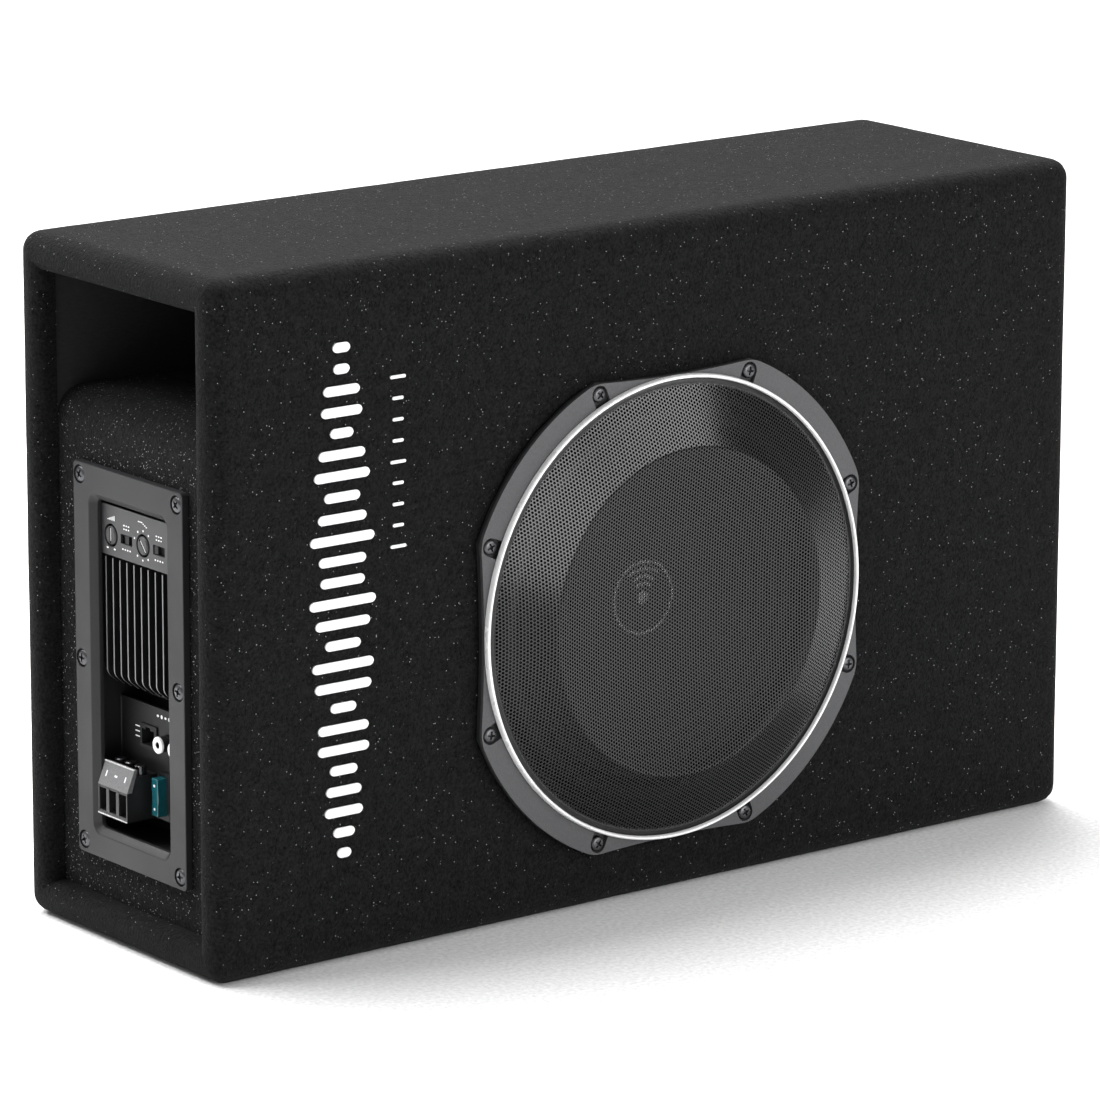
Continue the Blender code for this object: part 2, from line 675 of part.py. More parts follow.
bezel = left_plate("amp_bezel", (PANEL_Y - PANEL_SPAN_Y / 2, PANEL_Y + PANEL_SPAN_Y / 2),
                   (PANEL_LOW_Z, PANEL_HIGH_Z), 0.0, BEZEL_THICKNESS, 0.0025, PANEL_LOOK)
collar = left_plate("bezel_collar", (HOUSING_Y[0] + GAP, HOUSING_Y[1] - GAP),
                    (HOUSING_Z[0] + GAP, HOUSING_Z[1] - GAP), 0.001, COLLAR_DEPTH, 0.004, None)
boolean(bezel, as_cutter(collar), "UNION")


def window_funnel():
    """The window's tool: the sloping border, then straight through."""
    rows = []
    depths = [(-0.001, -0.001), (CHAMFER, CHAMFER), (0.02, CHAMFER)]
    for depth, inset in depths:
        outline = rounded_rectangle((WINDOW_Y[0] + inset, WINDOW_LOW_Z + inset),
                                    (WINDOW_Y[1] - inset, WINDOW_HIGH_Z - inset),
                                    0.006 - inset, 3)
        rows.append([(BEZEL_FACE_X + depth, y, z) for y, z in outline])
    return as_cutter(loft("window_funnel", rows, None, smooth=False))


boolean(bezel, window_funnel())

amp_screw_places = []
for z in (PANEL_LOW_Z + 0.0065, (PANEL_LOW_Z + PANEL_HIGH_Z) / 2, PANEL_HIGH_Z - 0.0065):
    for side in (1, -1):
        amp_screw_places.append(Vector((BEZEL_FACE_X, PANEL_Y + side * 0.0418, z)))
AMP_SINK = 0.0019
for i, place in enumerate(amp_screw_places):
    hole = rod_cutter("amp_screw_hole_%d" % (i + 1), 0.0024, -0.03, 0.01, place, "left", 12)
    sink = rod_cutter("amp_screw_sink_%d" % (i + 1), 0.0049, -AMP_SINK, 0.01, place, "left", 16)
    boolean(bezel, hole)
    boolean(bezel, sink)
    boolean(carpet_recess, hole)
    boolean(amp_baffle, hole)
    seat = place + Vector((AMP_SINK - GAP, 0, 0))
    screw_mesh_object("amp_screw_%d" % (i + 1), 0.0043, 0.0020, 0.0019, 0.0145, seat, "left",
                      SCREW_LOOK)

# the housing is a tray behind the window: a ring of walls and a back
HOUSING_BACK_X = LEFT_X + 0.080
WALL_PLASTIC = 0.002
housing_front = BEZEL_FACE_X + COLLAR_DEPTH + GAP
housing = box("amp_housing", (housing_front, HOUSING_Y[0], HOUSING_Z[0]),
              (HOUSING_BACK_X, HOUSING_Y[1], HOUSING_Z[1]), (BLACK_PLASTIC, 0.5))
bevel(housing, 0.0015, 1)
housing_room = box_cutter("housing_room", (housing_front - 0.01, HOUSING_Y[0] + WALL_PLASTIC,
                                           HOUSING_Z[0] + WALL_PLASTIC),
                          (HOUSING_BACK_X - WALL_PLASTIC, HOUSING_Y[1] - WALL_PLASTIC,
                           HOUSING_Z[1] - WALL_PLASTIC))
boolean(housing, housing_room)
ROOM_Y = (HOUSING_Y[0] + WALL_PLASTIC, HOUSING_Y[1] - WALL_PLASTIC)
ROOM_Z = (HOUSING_Z[0] + WALL_PLASTIC, HOUSING_Z[1] - WALL_PLASTIC)

CONTROL_Z = (0.1933, 0.2186)
CONTROL_FACE = COLLAR_DEPTH + GAP
KNOB_RADIUS = 0.0050
GAIN_Y = PANEL_Y + 0.0226
FILTER_Y = PANEL_Y - 0.0052
MODE_Y = PANEL_Y + 0.0092
POLARITY_Y = PANEL_Y - 0.0189
CONTROL_MIDDLE_Z = 0.2035


def circle_hole(y, z, radius, steps=20):
    return [(z + a, y + b) for a, b in circle_outline(radius, steps)]


def slot_hole(y, z, size_y, size_z):
    return [(z - size_z / 2, y - size_y / 2), (z + size_z / 2, y - size_y / 2),
            (z + size_z / 2, y + size_y / 2), (z - size_z / 2, y + size_y / 2)]


SWITCH_WINDOW = (0.0100, 0.0048)
FOOT_HALF = 0.0078
control_holes = [
    circle_hole(GAIN_Y, CONTROL_MIDDLE_Z, KNOB_RADIUS + 0.0004),
    circle_hole(FILTER_Y, CONTROL_MIDDLE_Z, KNOB_RADIUS + 0.0004),
    slot_hole(MODE_Y, CONTROL_MIDDLE_Z, *SWITCH_WINDOW),
    slot_hole(POLARITY_Y, CONTROL_MIDDLE_Z, *SWITCH_WINDOW),
]
left_plate("control_plate", (INNER_WINDOW_Y[0] - 0.001, INNER_WINDOW_Y[1] + 0.001), CONTROL_Z,
           CONTROL_FACE, CONTROL_FACE + 0.0015, 0.001, PANEL_LOOK, control_holes, 1)


def knob(name, y, slot_turn):
    """A control with a screwdriver slot, on a shaft that reaches the circuit board."""
    origin = Vector((BEZEL_FACE_X + CONTROL_FACE, y, CONTROL_MIDDLE_Z))
    profile = [(0.0, 0.0004), (KNOB_RADIUS - 0.0004, 0.0004), (KNOB_RADIUS, 0.0),
               (KNOB_RADIUS, -0.0018), (0.0020, -0.0018), (0.0020, -0.0088), (0.0, -0.0088)]
    obj = turned(name, profile, origin, "left", PANEL_LOOK, 24, closed=False)
    slot = box(name + "_slot", (-0.0042, -0.0006, -0.0010), (0.0042, 0.0006, 0.0020), None)
    slot.matrix_world = (
        Matrix.Translation(origin) @ AXES["left"] @ Matrix.Rotation(math.radians(slot_turn), 4, "Z"))
    return boolean(obj, as_cutter(slot))


knob("gain_knob", GAIN_Y, 0)
knob("filter_knob", FILTER_Y, 40)


def slide_switch(name, tip_y):
    """A slider: its tip stands in the window, on a foot behind the plate."""
    face = BEZEL_FACE_X + CONTROL_FACE
    z = CONTROL_MIDDLE_Z
    foot = box(name, (face + 0.0022, tip_y - FOOT_HALF, z - 0.0030),
               (face + 0.0040, tip_y + FOOT_HALF, z + 0.0030), (BLACK_PLASTIC, 0.5))
    tip = box_cutter(name + "_tip", (face + 0.0004, tip_y - 0.0016, z - 0.0020),
                     (face + 0.0030, tip_y + 0.0016, z + 0.0020))
    return boolean(foot, tip, "UNION")


SWITCH_THROW = 0.0028
slide_switch("mode_switch", MODE_Y)
slide_switch("polarity_switch", POLARITY_Y + SWITCH_THROW)

HEATSINK_Z = (0.1327, 0.1922)
FIN_DEPTH = 0.0160
fin_front = BEZEL_FACE_X + 0.0042 + 0.0013
fin_back = fin_front + FIN_DEPTH
fin_outline = [
    (fin_front, HEATSINK_Z[1]),
    (fin_front, HEATSINK_Z[0]),
    (fin_front + 0.006, HEATSINK_Z[0] - 0.0050),
    (fin_back + 0.001, HEATSINK_Z[0] - 0.0050),
    (fin_back + 0.001, HEATSINK_Z[1]),
]
heatsink = box("heatsink", (fin_back, ROOM_Y[0] + GAP, HEATSINK_Z[0] - 0.010),
               (fin_back + 0.004, ROOM_Y[1] - GAP, HEATSINK_Z[1]), ((0.012, 0.012, 0.013), 0.35, 0.9))
for i in range(FIN_COUNT):
    y = PANEL_Y + (i - (FIN_COUNT - 1) / 2) * FIN_PITCH
    fin = as_cutter(flat_solid("fin_%d" % (i + 1), [list(reversed(fin_outline))],
                               -y - FIN_THICKNESS / 2, -y + FIN_THICKNESS / 2, "front",
                               Vector((0, 0, 0)), None))
    boolean(heatsink, fin, "UNION")

box("circuit_board", (fin_back + 0.0100, ROOM_Y[0] + 0.001, ROOM_Z[0] + 0.001),
    (fin_back + 0.0116, ROOM_Y[1] - 0.001, ROOM_Z[1] - 0.001), ((0.02, 0.16, 0.07), 0.5))

# ---------------------------------------------------------------- connectors
CONNECTOR_X = LEFT_X + 0.0268
PLATE_Z = (0.0615, 0.1180)
JACK_Y = PANEL_Y + 0.0107
JACK_Z = 0.1018
RCA_Y = (PANEL_Y - 0.0050, PANEL_Y - 0.0180)
FUSE_Y = PANEL_Y - 0.0020
FUSE_Z = (0.0650, 0.0841)
PLUG_Y = (PANEL_Y + 0.0045, PANEL_Y + 0.0301)
PLUG_MIDDLE_Y = (PLUG_Y[0] + PLUG_Y[1]) / 2
HEADER_Z = (0.0640, 0.0800)

connector_plate = box("connector_plate", (CONNECTOR_X, ROOM_Y[0] + GAP, PLATE_Z[0]),
                      (CONNECTOR_X + 0.0016, ROOM_Y[1] - GAP, PLATE_Z[1]),
                      ((0.02, 0.02, 0.021), 0.5, 0.4))


def through(name, low_y, high_y, low_z, high_z):
    return box_cutter(name, (CONNECTOR_X - 0.01, low_y, low_z), (CONNECTOR_X + 0.01, high_y, high_z))


JACK_SIZE = (0.0135, 0.0115)
jack_y = (JACK_Y - JACK_SIZE[0] / 2, JACK_Y + JACK_SIZE[0] / 2)
jack_z = (JACK_Z - JACK_SIZE[1] / 2, JACK_Z + JACK_SIZE[1] / 2)
boolean(connector_plate, through("jack_hole", jack_y[0] - GAP, jack_y[1] + GAP,
                                 jack_z[0] - GAP, jack_z[1] + GAP))
jack_back = fin_back + 0.0097
level_jack = box("level_jack", (CONNECTOR_X - 0.0012, jack_y[0], jack_z[0]),
                 (jack_back, jack_y[1], jack_z[1]), (BLACK_PLASTIC, 0.4))
boolean(level_jack, box_cutter("jack_socket", (CONNECTOR_X - 0.01, jack_y[0] + 0.0015, jack_z[0] + 0.0015),
                               (CONNECTOR_X + 0.0075, jack_y[1] - 0.0015, jack_z[1] - 0.0022)))
boolean(level_jack, box_cutter("jack_key", (CONNECTOR_X - 0.01, JACK_Y - 0.002, jack_z[1] - 0.004),
                               (CONNECTOR_X + 0.0075, JACK_Y + 0.002, jack_z[1] - 0.0010)))

rca_low = (CONNECTOR_X + 0.0016 + GAP, RCA_Y[1] - 0.0055, JACK_Z - 0.0055)
rca_high = (jack_back, RCA_Y[0] + 0.0045, JACK_Z + 0.0055)
rca_jacks = box("rca_jacks", rca_low, rca_high, (BLACK_PLASTIC, 0.4))
for i, y in enumerate(RCA_Y):
    place = Vector((CONNECTOR_X, y, JACK_Z))
    boolean(connector_plate, rod_cutter("rca_hole_%d" % (i + 1), 0.0044, -0.01, 0.01, place, "left", 20))
    boolean(rca_jacks, rod_cutter("rca_barrel_%d" % (i + 1), 0.0040, -0.004, 0.0060, place, "left", 20),
            "UNION")
for i, y in enumerate(RCA_Y):
    place = Vector((CONNECTOR_X, y, JACK_Z))
    boolean(rca_jacks, rod_cutter("rca_pin_hole_%d" % (i + 1), 0.0016, -0.0035, 0.02, place, "left", 12))

header_hole = through("header_hole", PLUG_Y[0] - GAP, PLUG_Y[1] + GAP, HEADER_Z[0] - GAP,
                      HEADER_Z[1] + GAP)
boolean(connector_plate, header_hole)
PLUG_BACK = CONNECTOR_X - 0.0004
header = box("power_header", (PLUG_BACK + GAP, PLUG_Y[0], HEADER_Z[0]),
             (jack_back, PLUG_Y[1], HEADER_Z[1]), (BLACK_PLASTIC, 0.5))
PLUG_FRONT = BEZEL_FACE_X + 0.0008
plug_outline = [
    (PLUG_FRONT, 0.0620),
    (PLUG_FRONT, 0.0770),
    (PLUG_FRONT + 0.0045, 0.0880),
    (PLUG_FRONT + 0.0065, 0.0880),
    (PLUG_FRONT + 0.0065, 0.0845),
    (PLUG_BACK, 0.0845),
    (PLUG_BACK, 0.0620),
]
power_plug = flat_solid("power_plug", [list(reversed(plug_outline))], -PLUG_Y[1], -PLUG_Y[0],
                        "front", Vector((0, 0, 0)), (BLACK_PLASTIC, 0.5))
TERMINAL_X = PLUG_FRONT + 0.0107
POLE_Y = [PLUG_MIDDLE_Y + (i - 1) * POLE_PITCH for i in range(POLE_COUNT)]
for i, y in enumerate(POLE_Y):
    boolean(power_plug, box_cutter("wire_entry_%d" % (i + 1),
                                   (PLUG_FRONT - 0.01, y - 0.0030, 0.0640),
                                   (PLUG_FRONT + 0.0140, y + 0.0030, 0.0755)))
    place = Vector((TERMINAL_X, y, 0.0845))
    boolean(power_plug, rod_cutter("screw_well_%d" % (i + 1), 0.0034, -0.0050, 0.01, place, "up", 16))
    profile = [(0.0, 0.0046), (0.0026, 0.0046), (0.0030, 0.0042), (0.0030, -0.0045),
               (0.0, -0.0045)]
    screw = turned("terminal_screw_%d" % (i + 1), profile, place, "up",
                   ((0.35, 0.35, 0.36), 0.35, 1.0), 16, closed=False)
    slot = box("terminal_slot_%d" % (i + 1), (-0.0035, -0.0004, 0.0032), (0.0035, 0.0004, 0.006), None)
    slot.matrix_world = Matrix.Translation(place) @ Matrix.Rotation(math.radians(20 + 50 * i), 4, "Z")
    boolean(screw, as_cutter(slot))

# two prongs on the header reach into the plug at each pole
for i, y in enumerate(POLE_Y):
    pin = box_cutter("header_pin_%d" % (i + 1), (PLUG_BACK - 0.0040, y - 0.0010, 0.0690),
                     (jack_back - 0.001, y + 0.0010, 0.0710))
    boolean(header, pin, "UNION")
    boolean(power_plug, box_cutter("pin_hole_%d" % (i + 1), (PLUG_BACK - 0.0050, y - 0.0014, 0.0686),
                                   (PLUG_BACK + 0.01, y + 0.0014, 0.0714)))

FUSE_FRONT = LEFT_X + 0.0205
HOLDER_FRONT = CONNECTOR_X - 0.0012
holder = box("fuse_holder", (HOLDER_FRONT, FUSE_Y - 0.0055, FUSE_Z[0] - 0.0025),
             (jack_back, FUSE_Y + 0.0048, FUSE_Z[1] + 0.0025), (PANEL_GREY, 0.5))
boolean(connector_plate, through("holder_hole", FUSE_Y - 0.0055 - GAP, FUSE_Y + 0.0048 + GAP,
                                 FUSE_Z[0] - 0.0025 - GAP, FUSE_Z[1] + 0.0025 + GAP))
FUSE_BACK = HOLDER_FRONT + 0.0060
boolean(holder, box_cutter("fuse_slot", (HOLDER_FRONT - 0.01, FUSE_Y - 0.0029, FUSE_Z[0] - GAP),
                           (FUSE_BACK + 0.0003, FUSE_Y + 0.0029, FUSE_Z[1] + GAP)))
fuse = box("fuse", (FUSE_FRONT, FUSE_Y - 0.0026, FUSE_Z[0]),
           (FUSE_BACK, FUSE_Y + 0.0026, FUSE_Z[1]), ((0.0, 0.30, 0.38), 0.25))
bevel(fuse, 0.0006, 1)
for i, z in enumerate((FUSE_Z[0] + 0.0045, FUSE_Z[1] - 0.0045)):
    blade = box_cutter("fuse_blade_%d" % (i + 1), (FUSE_BACK - 0.001, FUSE_Y - 0.0004, z - 0.0025),
                       (FUSE_BACK + 0.0060, FUSE_Y + 0.0004, z + 0.0025))
    boolean(fuse, blade, "UNION")
    boolean(holder, box_cutter("blade_slot_%d" % (i + 1),
                               (FUSE_BACK - 0.001, FUSE_Y - 0.0008, z - 0.0029),
                               (FUSE_BACK + 0.0066, FUSE_Y + 0.0008, z + 0.0029)))
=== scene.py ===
"""Looks of the powered car subwoofer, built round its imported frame."""
import math

import bmesh
import bpy
import numpy as np
from mathutils import Matrix, Vector, noise


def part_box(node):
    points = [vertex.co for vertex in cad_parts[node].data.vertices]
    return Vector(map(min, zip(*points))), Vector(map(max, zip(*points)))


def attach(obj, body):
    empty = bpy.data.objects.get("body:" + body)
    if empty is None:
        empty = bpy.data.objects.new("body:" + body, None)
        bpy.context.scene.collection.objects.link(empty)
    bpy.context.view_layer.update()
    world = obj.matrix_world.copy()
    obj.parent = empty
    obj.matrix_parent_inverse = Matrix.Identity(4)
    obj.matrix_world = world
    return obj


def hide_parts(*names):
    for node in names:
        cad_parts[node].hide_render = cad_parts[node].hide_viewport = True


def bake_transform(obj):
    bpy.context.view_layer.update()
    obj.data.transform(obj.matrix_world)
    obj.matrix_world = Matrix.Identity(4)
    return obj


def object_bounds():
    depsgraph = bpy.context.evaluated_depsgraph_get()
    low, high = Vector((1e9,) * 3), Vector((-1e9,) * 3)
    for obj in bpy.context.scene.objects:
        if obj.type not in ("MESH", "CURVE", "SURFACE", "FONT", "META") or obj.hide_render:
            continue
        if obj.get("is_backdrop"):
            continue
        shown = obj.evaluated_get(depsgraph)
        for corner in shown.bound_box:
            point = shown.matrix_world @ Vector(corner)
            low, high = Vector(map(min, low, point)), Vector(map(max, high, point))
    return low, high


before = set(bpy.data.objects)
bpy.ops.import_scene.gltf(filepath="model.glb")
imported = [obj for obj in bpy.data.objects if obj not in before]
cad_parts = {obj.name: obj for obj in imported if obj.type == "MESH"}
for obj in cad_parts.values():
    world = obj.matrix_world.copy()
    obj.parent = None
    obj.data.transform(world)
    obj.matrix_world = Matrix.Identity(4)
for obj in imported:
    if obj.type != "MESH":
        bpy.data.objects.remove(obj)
cad_low, cad_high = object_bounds()
scene = bpy.context.scene

# ---- places, from the frame
wrap_low, wrap_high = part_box("carpet_wrap")
LEFT_X, FRONT_Y = wrap_low.x, wrap_low.y
RIGHT_X, BACK_Y, HEIGHT = wrap_high.x, wrap_high.y, wrap_high.z
ring_low, ring_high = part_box("grille_ring")
DRIVER = Vector(((ring_low.x + ring_high.x) / 2, FRONT_Y, (ring_low.z + ring_high.z) / 2))
bezel_low, bezel_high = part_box("amp_bezel")
BEZEL_X = bezel_low.x
PANEL_Y = (bezel_low.y + bezel_high.y) / 2
control_low, control_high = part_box("control_plate")
connector_low, connector_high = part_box("connector_plate")
plug_low, plug_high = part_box("power_plug")
fuse_low, fuse_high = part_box("fuse")
recess_low, recess_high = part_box("carpet_recess")

AXES = {
    "front": Matrix.Rotation(math.radians(90), 4, "X"),
    "left": Matrix.Rotation(math.radians(-90), 4, "Y"),
}


# ---- materials
class Look:
    """A Principled material, with short calls that add pattern nodes to it."""

    def __init__(self, name, colour, roughness, metallic=0.0, **sockets):
        self.material = bpy.data.materials.new(name)
        self.material.use_nodes = True
        self.tree = self.material.node_tree
        self.shader = self.tree.nodes["Principled BSDF"]
        self.set("Base Color", (*colour, 1.0))
        self.set("Roughness", roughness)
        self.set("Metallic", metallic)
        for socket, value in sockets.items():
            self.set(socket.replace("_", " "), value)
        self.place = self.tree.nodes.new("ShaderNodeTexCoord").outputs["Object"]

    def feed(self, socket, value):
        """Links another node's output to a socket, or sets the socket's own value."""
        if isinstance(value, bpy.types.NodeSocket):
            self.tree.links.new(value, socket)
        else:
            socket.default_value = value

    def set(self, socket, value):
        self.feed(self.shader.inputs[socket], value)

    def node(self, kind, inputs, **settings):
        made = self.tree.nodes.new("ShaderNode" + kind)
        for name, value in settings.items():
            setattr(made, name, value)
        for name, value in inputs.items():
            self.feed(made.inputs[name], value)
        return made

    def stretched(self, scale):
        """The place, scaled by a different amount along each axis."""
        return self.node("Mapping", {"Vector": self.place, "Scale": scale}).outputs["Vector"]

    def noise(self, scale, detail=2.0, rough=0.5, place=None):
        inputs = {"Vector": place or self.place, "Scale": scale, "Detail": detail,
                  "Roughness": rough}
        return self.node("TexNoise", inputs).outputs["Fac"]

    def cells(self, scale, output):
        return self.node("TexVoronoi", {"Vector": self.place, "Scale": scale}).outputs[output]

    def math(self, operation, first, second=0.0, third=0.0):
        inputs = {0: first, 1: second, 2: third}
        return self.node("Math", inputs, operation=operation).outputs[0]

    def spread(self, value, low, high, to_low, to_high):
        inputs = {"Value": value, "From Min": low, "From Max": high, "To Min": to_low,
                  "To Max": to_high}
        return self.node("MapRange", inputs).outputs["Result"]

    def mix(self, factor, first, second):
        made = self.node("Mix", {"Factor": factor}, data_type="RGBA")
        for index, value in ((6, first), (7, second)):
            linked_in = isinstance(value, bpy.types.NodeSocket)
            self.feed(made.inputs[index], value if linked_in else (*value, 1.0))
        return made.outputs[2]

    def tint(self, value, dark, light, low=0.3, high=0.7):
        """Colours the surface from dark to light as a value goes from low to high."""
        self.set("Base Color", self.mix(self.spread(value, low, high, 0.0, 1.0), dark, light))

    def bump(self, height, distance):
        inputs = {"Height": height, "Distance": distance, "Strength": 1.0}
        self.set("Normal", self.node("Bump", inputs).outputs["Normal"])


def scaled(colour, by):
    return [min(value * by, 1.0) for value in colour]


def pile_carpet(name, glint_share, glint):
    """Short black pile: mottled fibres, with pale specks here and there that are painted glints of lit
    fibres.
    """
    look = Look(name, (0.012, 0.012, 0.013), 0.95, Sheen_Weight=0.023, Sheen_Roughness=0.5,
                Specular_IOR_Level=0.1)
    broad = look.noise(160.0, 3.0, 0.6)
    tufts = look.noise(620.0, 3.0, 0.7)
    fibres = look.noise(1500.0, 2.0, 0.6)
    shade = look.math("MULTIPLY_ADD", tufts, 0.75, look.math("MULTIPLY", broad, 0.25))
    colour = look.mix(look.spread(shade, 0.36, 0.66, 0.0, 1.0), (0.0006, 0.0006, 0.00065),
                      (0.0118, 0.0118, 0.0125))
    # painted glints: pale spots in the base colour, each dimmed at random, where fibres would catch the
    # light
    chance, shine, _ = look.node("SeparateColor", {"Color": look.cells(1300.0, "Color")}).outputs
    near = look.math("LESS_THAN", look.cells(1300.0, "Distance"), 0.36)
    glint_spot = look.math("MULTIPLY", look.math("GREATER_THAN", chance, 1.0 - glint_share), near)
    glint_spot = look.math("MULTIPLY", glint_spot, look.spread(shine, 0.0, 1.0, 0.12, 1.0))
    look.set("Base Color", look.mix(glint_spot, colour, (glint, glint, glint * 1.03)))
    look.bump(look.math("MULTIPLY_ADD", fibres, 0.4, tufts), 0.0011)
    return look.material


def plastic(name, colour, roughness, grain=900.0, depth=0.00008, **sockets):
    """Moulded plastic with a fine spark-eroded grain and faint handling marks."""
    look = Look(name, colour, roughness, **sockets)
    pits = look.noise(grain, 4.0, 0.65)
    clouds = look.noise(18.0, 3.0)
    look.tint(pits, scaled(colour, 0.84), scaled(colour, 1.22))
    look.set("Roughness", look.spread(clouds, 0.3, 0.7, roughness - 0.05, roughness + 0.06))
    look.bump(pits, depth)
    return look.material


def metal(name, colour, roughness, scratch=(60.0, 60.0, 900.0), depth=0.00002, metallic=1.0,
          **sockets):
    """Metal with fine brushing or scuffs along one axis."""
    look = Look(name, colour, roughness, metallic, **sockets)
    lines = look.noise(1.0, 4.0, 0.6, look.stretched(scratch))
    look.set("Roughness", look.spread(lines, 0.25, 0.75, max(roughness - 0.07, 0.02),
                                      roughness + 0.09))
    look.tint(lines, scaled(colour, 0.86), colour)
    look.bump(lines, depth)
    return look.material


def stitched(name):
    """White raised print with the fine cross ribs of close stitching."""
    look = Look(name, (0.86, 0.86, 0.86), 0.75, Sheen_Weight=0.2)
    ribs = look.node("TexWave", {"Vector": look.place, "Scale": 520.0, "Distortion": 1.4,
                                 "Detail": 2.0, "Detail Scale": 2.0},
                     bands_direction="Z").outputs["Fac"]
    tone = look.noise(240.0, 3.0)
    look.tint(tone, (0.74, 0.74, 0.745), (0.90, 0.90, 0.90))
    look.bump(look.math("MULTIPLY_ADD", tone, 0.6, ribs), 0.00025)
    return look.material


def woven_cloth(name, colour):
    """Cloth with threads that cross."""
    look = Look(name, colour, 0.85, Sheen_Weight=0.15)
    threads = [look.node("TexWave", {"Vector": look.place, "Scale": 300.0, "Distortion": 0.6},
                         bands_direction=direction).outputs["Fac"] for direction in "XZ"]
    weave = look.math("MULTIPLY", *threads)
    look.set("Base Color", look.mix(weave, scaled(colour, 0.55), colour))
    look.bump(weave, 0.0002)
    return look.material


def fibreboard(name, stain):
    """Fibreboard: a dark stain over short fibres."""
    look = Look(name, stain, 0.85)
    fibres = look.noise(1.0, 5.0, 0.7, look.stretched((240.0, 700.0, 700.0)))
    look.tint(fibres, scaled(stain, 0.5), stain, 0.35, 0.65)
    look.bump(fibres, 0.0003)
    return look.material


def pulp_paper(name, colour):
    """Pressed pulp, coated: a fibrous surface with a low gloss."""
    look = Look(name, colour, 0.5)
    fibres = look.noise(350.0, 5.0, 0.7)
    look.tint(fibres, scaled(colour, 0.6), scaled(colour, 1.3))
    look.set("Roughness", look.spread(fibres, 0.3, 0.7, 0.4, 0.6))
    look.bump(fibres, 0.0003)
    return look.material


def solder_mask(name):
    """Black lacquer over a circuit board, with paler tracks."""
    look = Look(name, (0.004, 0.004, 0.004), 0.45)
    tracks = look.node("TexBrick", {
        "Vector": look.place, "Scale": 90.0, "Color1": (0.004, 0.004, 0.004, 1),
        "Color2": (0.008, 0.008, 0.008, 1), "Mortar": (0.03, 0.03, 0.03, 1), "Mortar Size": 0.01})
    look.set("Base Color", tracks.outputs["Color"])
    look.bump(tracks.outputs["Fac"], 0.0001)
    return look.material


LOOKS = {
    "carpet": pile_carpet("pile_carpet", 0.017, 0.36),
    # the recess's copy of the carpet, with more and brighter painted glints where the light falls on the
    # lining
    "carpet_recess": pile_carpet("pile_carpet_recess_painted_glints", 0.055, 0.42),
    "print": stitched("raised_white_print"),
    "board": fibreboard("black_stained_board", (0.012, 0.012, 0.012)),
    "trim": plastic("trim_plastic", (0.052, 0.052, 0.055), 0.5, 1100.0, 0.00012),
    "bezel": plastic("bezel_plastic", (0.019, 0.019, 0.0205), 0.45, 2400.0, 0.00003,
                     Specular_IOR_Level=0.3),
    "panel": plastic("panel_coat", (0.029, 0.029, 0.031), 0.40, 2400.0, 0.00003),
    "knob": plastic("knob_plastic", (0.032, 0.032, 0.034), 0.45, 1500.0),
    "black": plastic("black_plastic", (0.009, 0.009, 0.0095), 0.45, 1300.0, 0.00006),
    # black plastic made darker than the other black plastic: partly its own colour, partly painted shade
    # for the parts sunk in the connector bay and behind the panel
    "shaded_black": plastic("black_plastic_painted_shade", (0.003, 0.003, 0.003), 0.6, 1300.0, 0.00006),
    "rubber": plastic("black_rubber", (0.008, 0.008, 0.0085), 0.42, 500.0, 0.0001),
    "foam": plastic("gasket_foam", (0.008, 0.008, 0.008), 0.9, 1400.0, 0.0003),
    "cap": plastic("cap_plastic", (0.006, 0.006, 0.0065), 0.3, 160.0, 0.00003),
    "cone": pulp_paper("coated_pulp", (0.010, 0.010, 0.0105)),
    "spider": woven_cloth("spider_cloth", (0.50, 0.38, 0.14)),
    "mesh": metal("coated_mesh", (0.007, 0.007, 0.0075), 0.19, (900.0, 900.0, 900.0), 0.00001, 0.0,
                  Coat_Weight=0.12, Coat_Roughness=0.2, Specular_IOR_Level=0.45),
    # the bright ring: its own silver, with its reflections painted in as a near-white base colour over a
    # little metal
    "silver": metal("silver_ring_painted_bright", (0.98, 0.98, 0.98), 0.25, (40.0, 40.0, 40.0), 0.000004, 0.2),
    "steel_black": metal("black_steel", (0.030, 0.030, 0.032), 0.42, (300.0, 300.0, 300.0),
                         0.00004, 0.4),
    "screw": metal("black_zinc", (0.10, 0.10, 0.105), 0.34, (700.0, 700.0, 700.0), 0.00003),
    "zinc": metal("zinc_plate", (0.42, 0.42, 0.43), 0.33, (260.0, 260.0, 260.0), 0.00003),
    "bare": metal("bare_aluminium", (0.20, 0.20, 0.205), 0.40, (200.0, 200.0, 1500.0)),
    "anodised": metal("black_anodised", (0.014, 0.014, 0.015), 0.40, (150.0, 150.0, 900.0),
                      0.00002, 0.5),
    "ferrite": plastic("ferrite", (0.05, 0.05, 0.053), 0.6, 300.0, 0.0003),
    "copper": metal("enamelled_copper", (0.55, 0.24, 0.10), 0.3, (60.0, 2500.0, 60.0), 0.00005),
    "solder": solder_mask("solder_mask"),
    "white": plastic("white_plastic", (0.93, 0.93, 0.93), 0.35, 600.0, 0.00002),
    "label": plastic("grey_label", (0.15, 0.15, 0.153), 0.5, 900.0, 0.00004),
    "fuse": plastic("tinted_plastic", (0.002, 0.085, 0.105), 0.25, 400.0, 0.00002,
                    Coat_Weight=0.4),
    "ink": plastic("white_ink", (0.92, 0.92, 0.92), 0.6, 2000.0, 0.00002),
}


# ---- shapes
PLAIN_NORMALS = ("carpet", "carpet_recess", "mesh")
IN_PLACE = Matrix.Identity(4)


def linked(name, data):
    """A new object of this scene."""
    obj = bpy.data.objects.new(name, data)
    scene.collection.objects.link(obj)
    return obj


def smoothed(mesh, angle=35.0):
    mesh.shade_smooth()
    mesh.set_sharp_from_angle(angle=math.radians(angle))
    return mesh


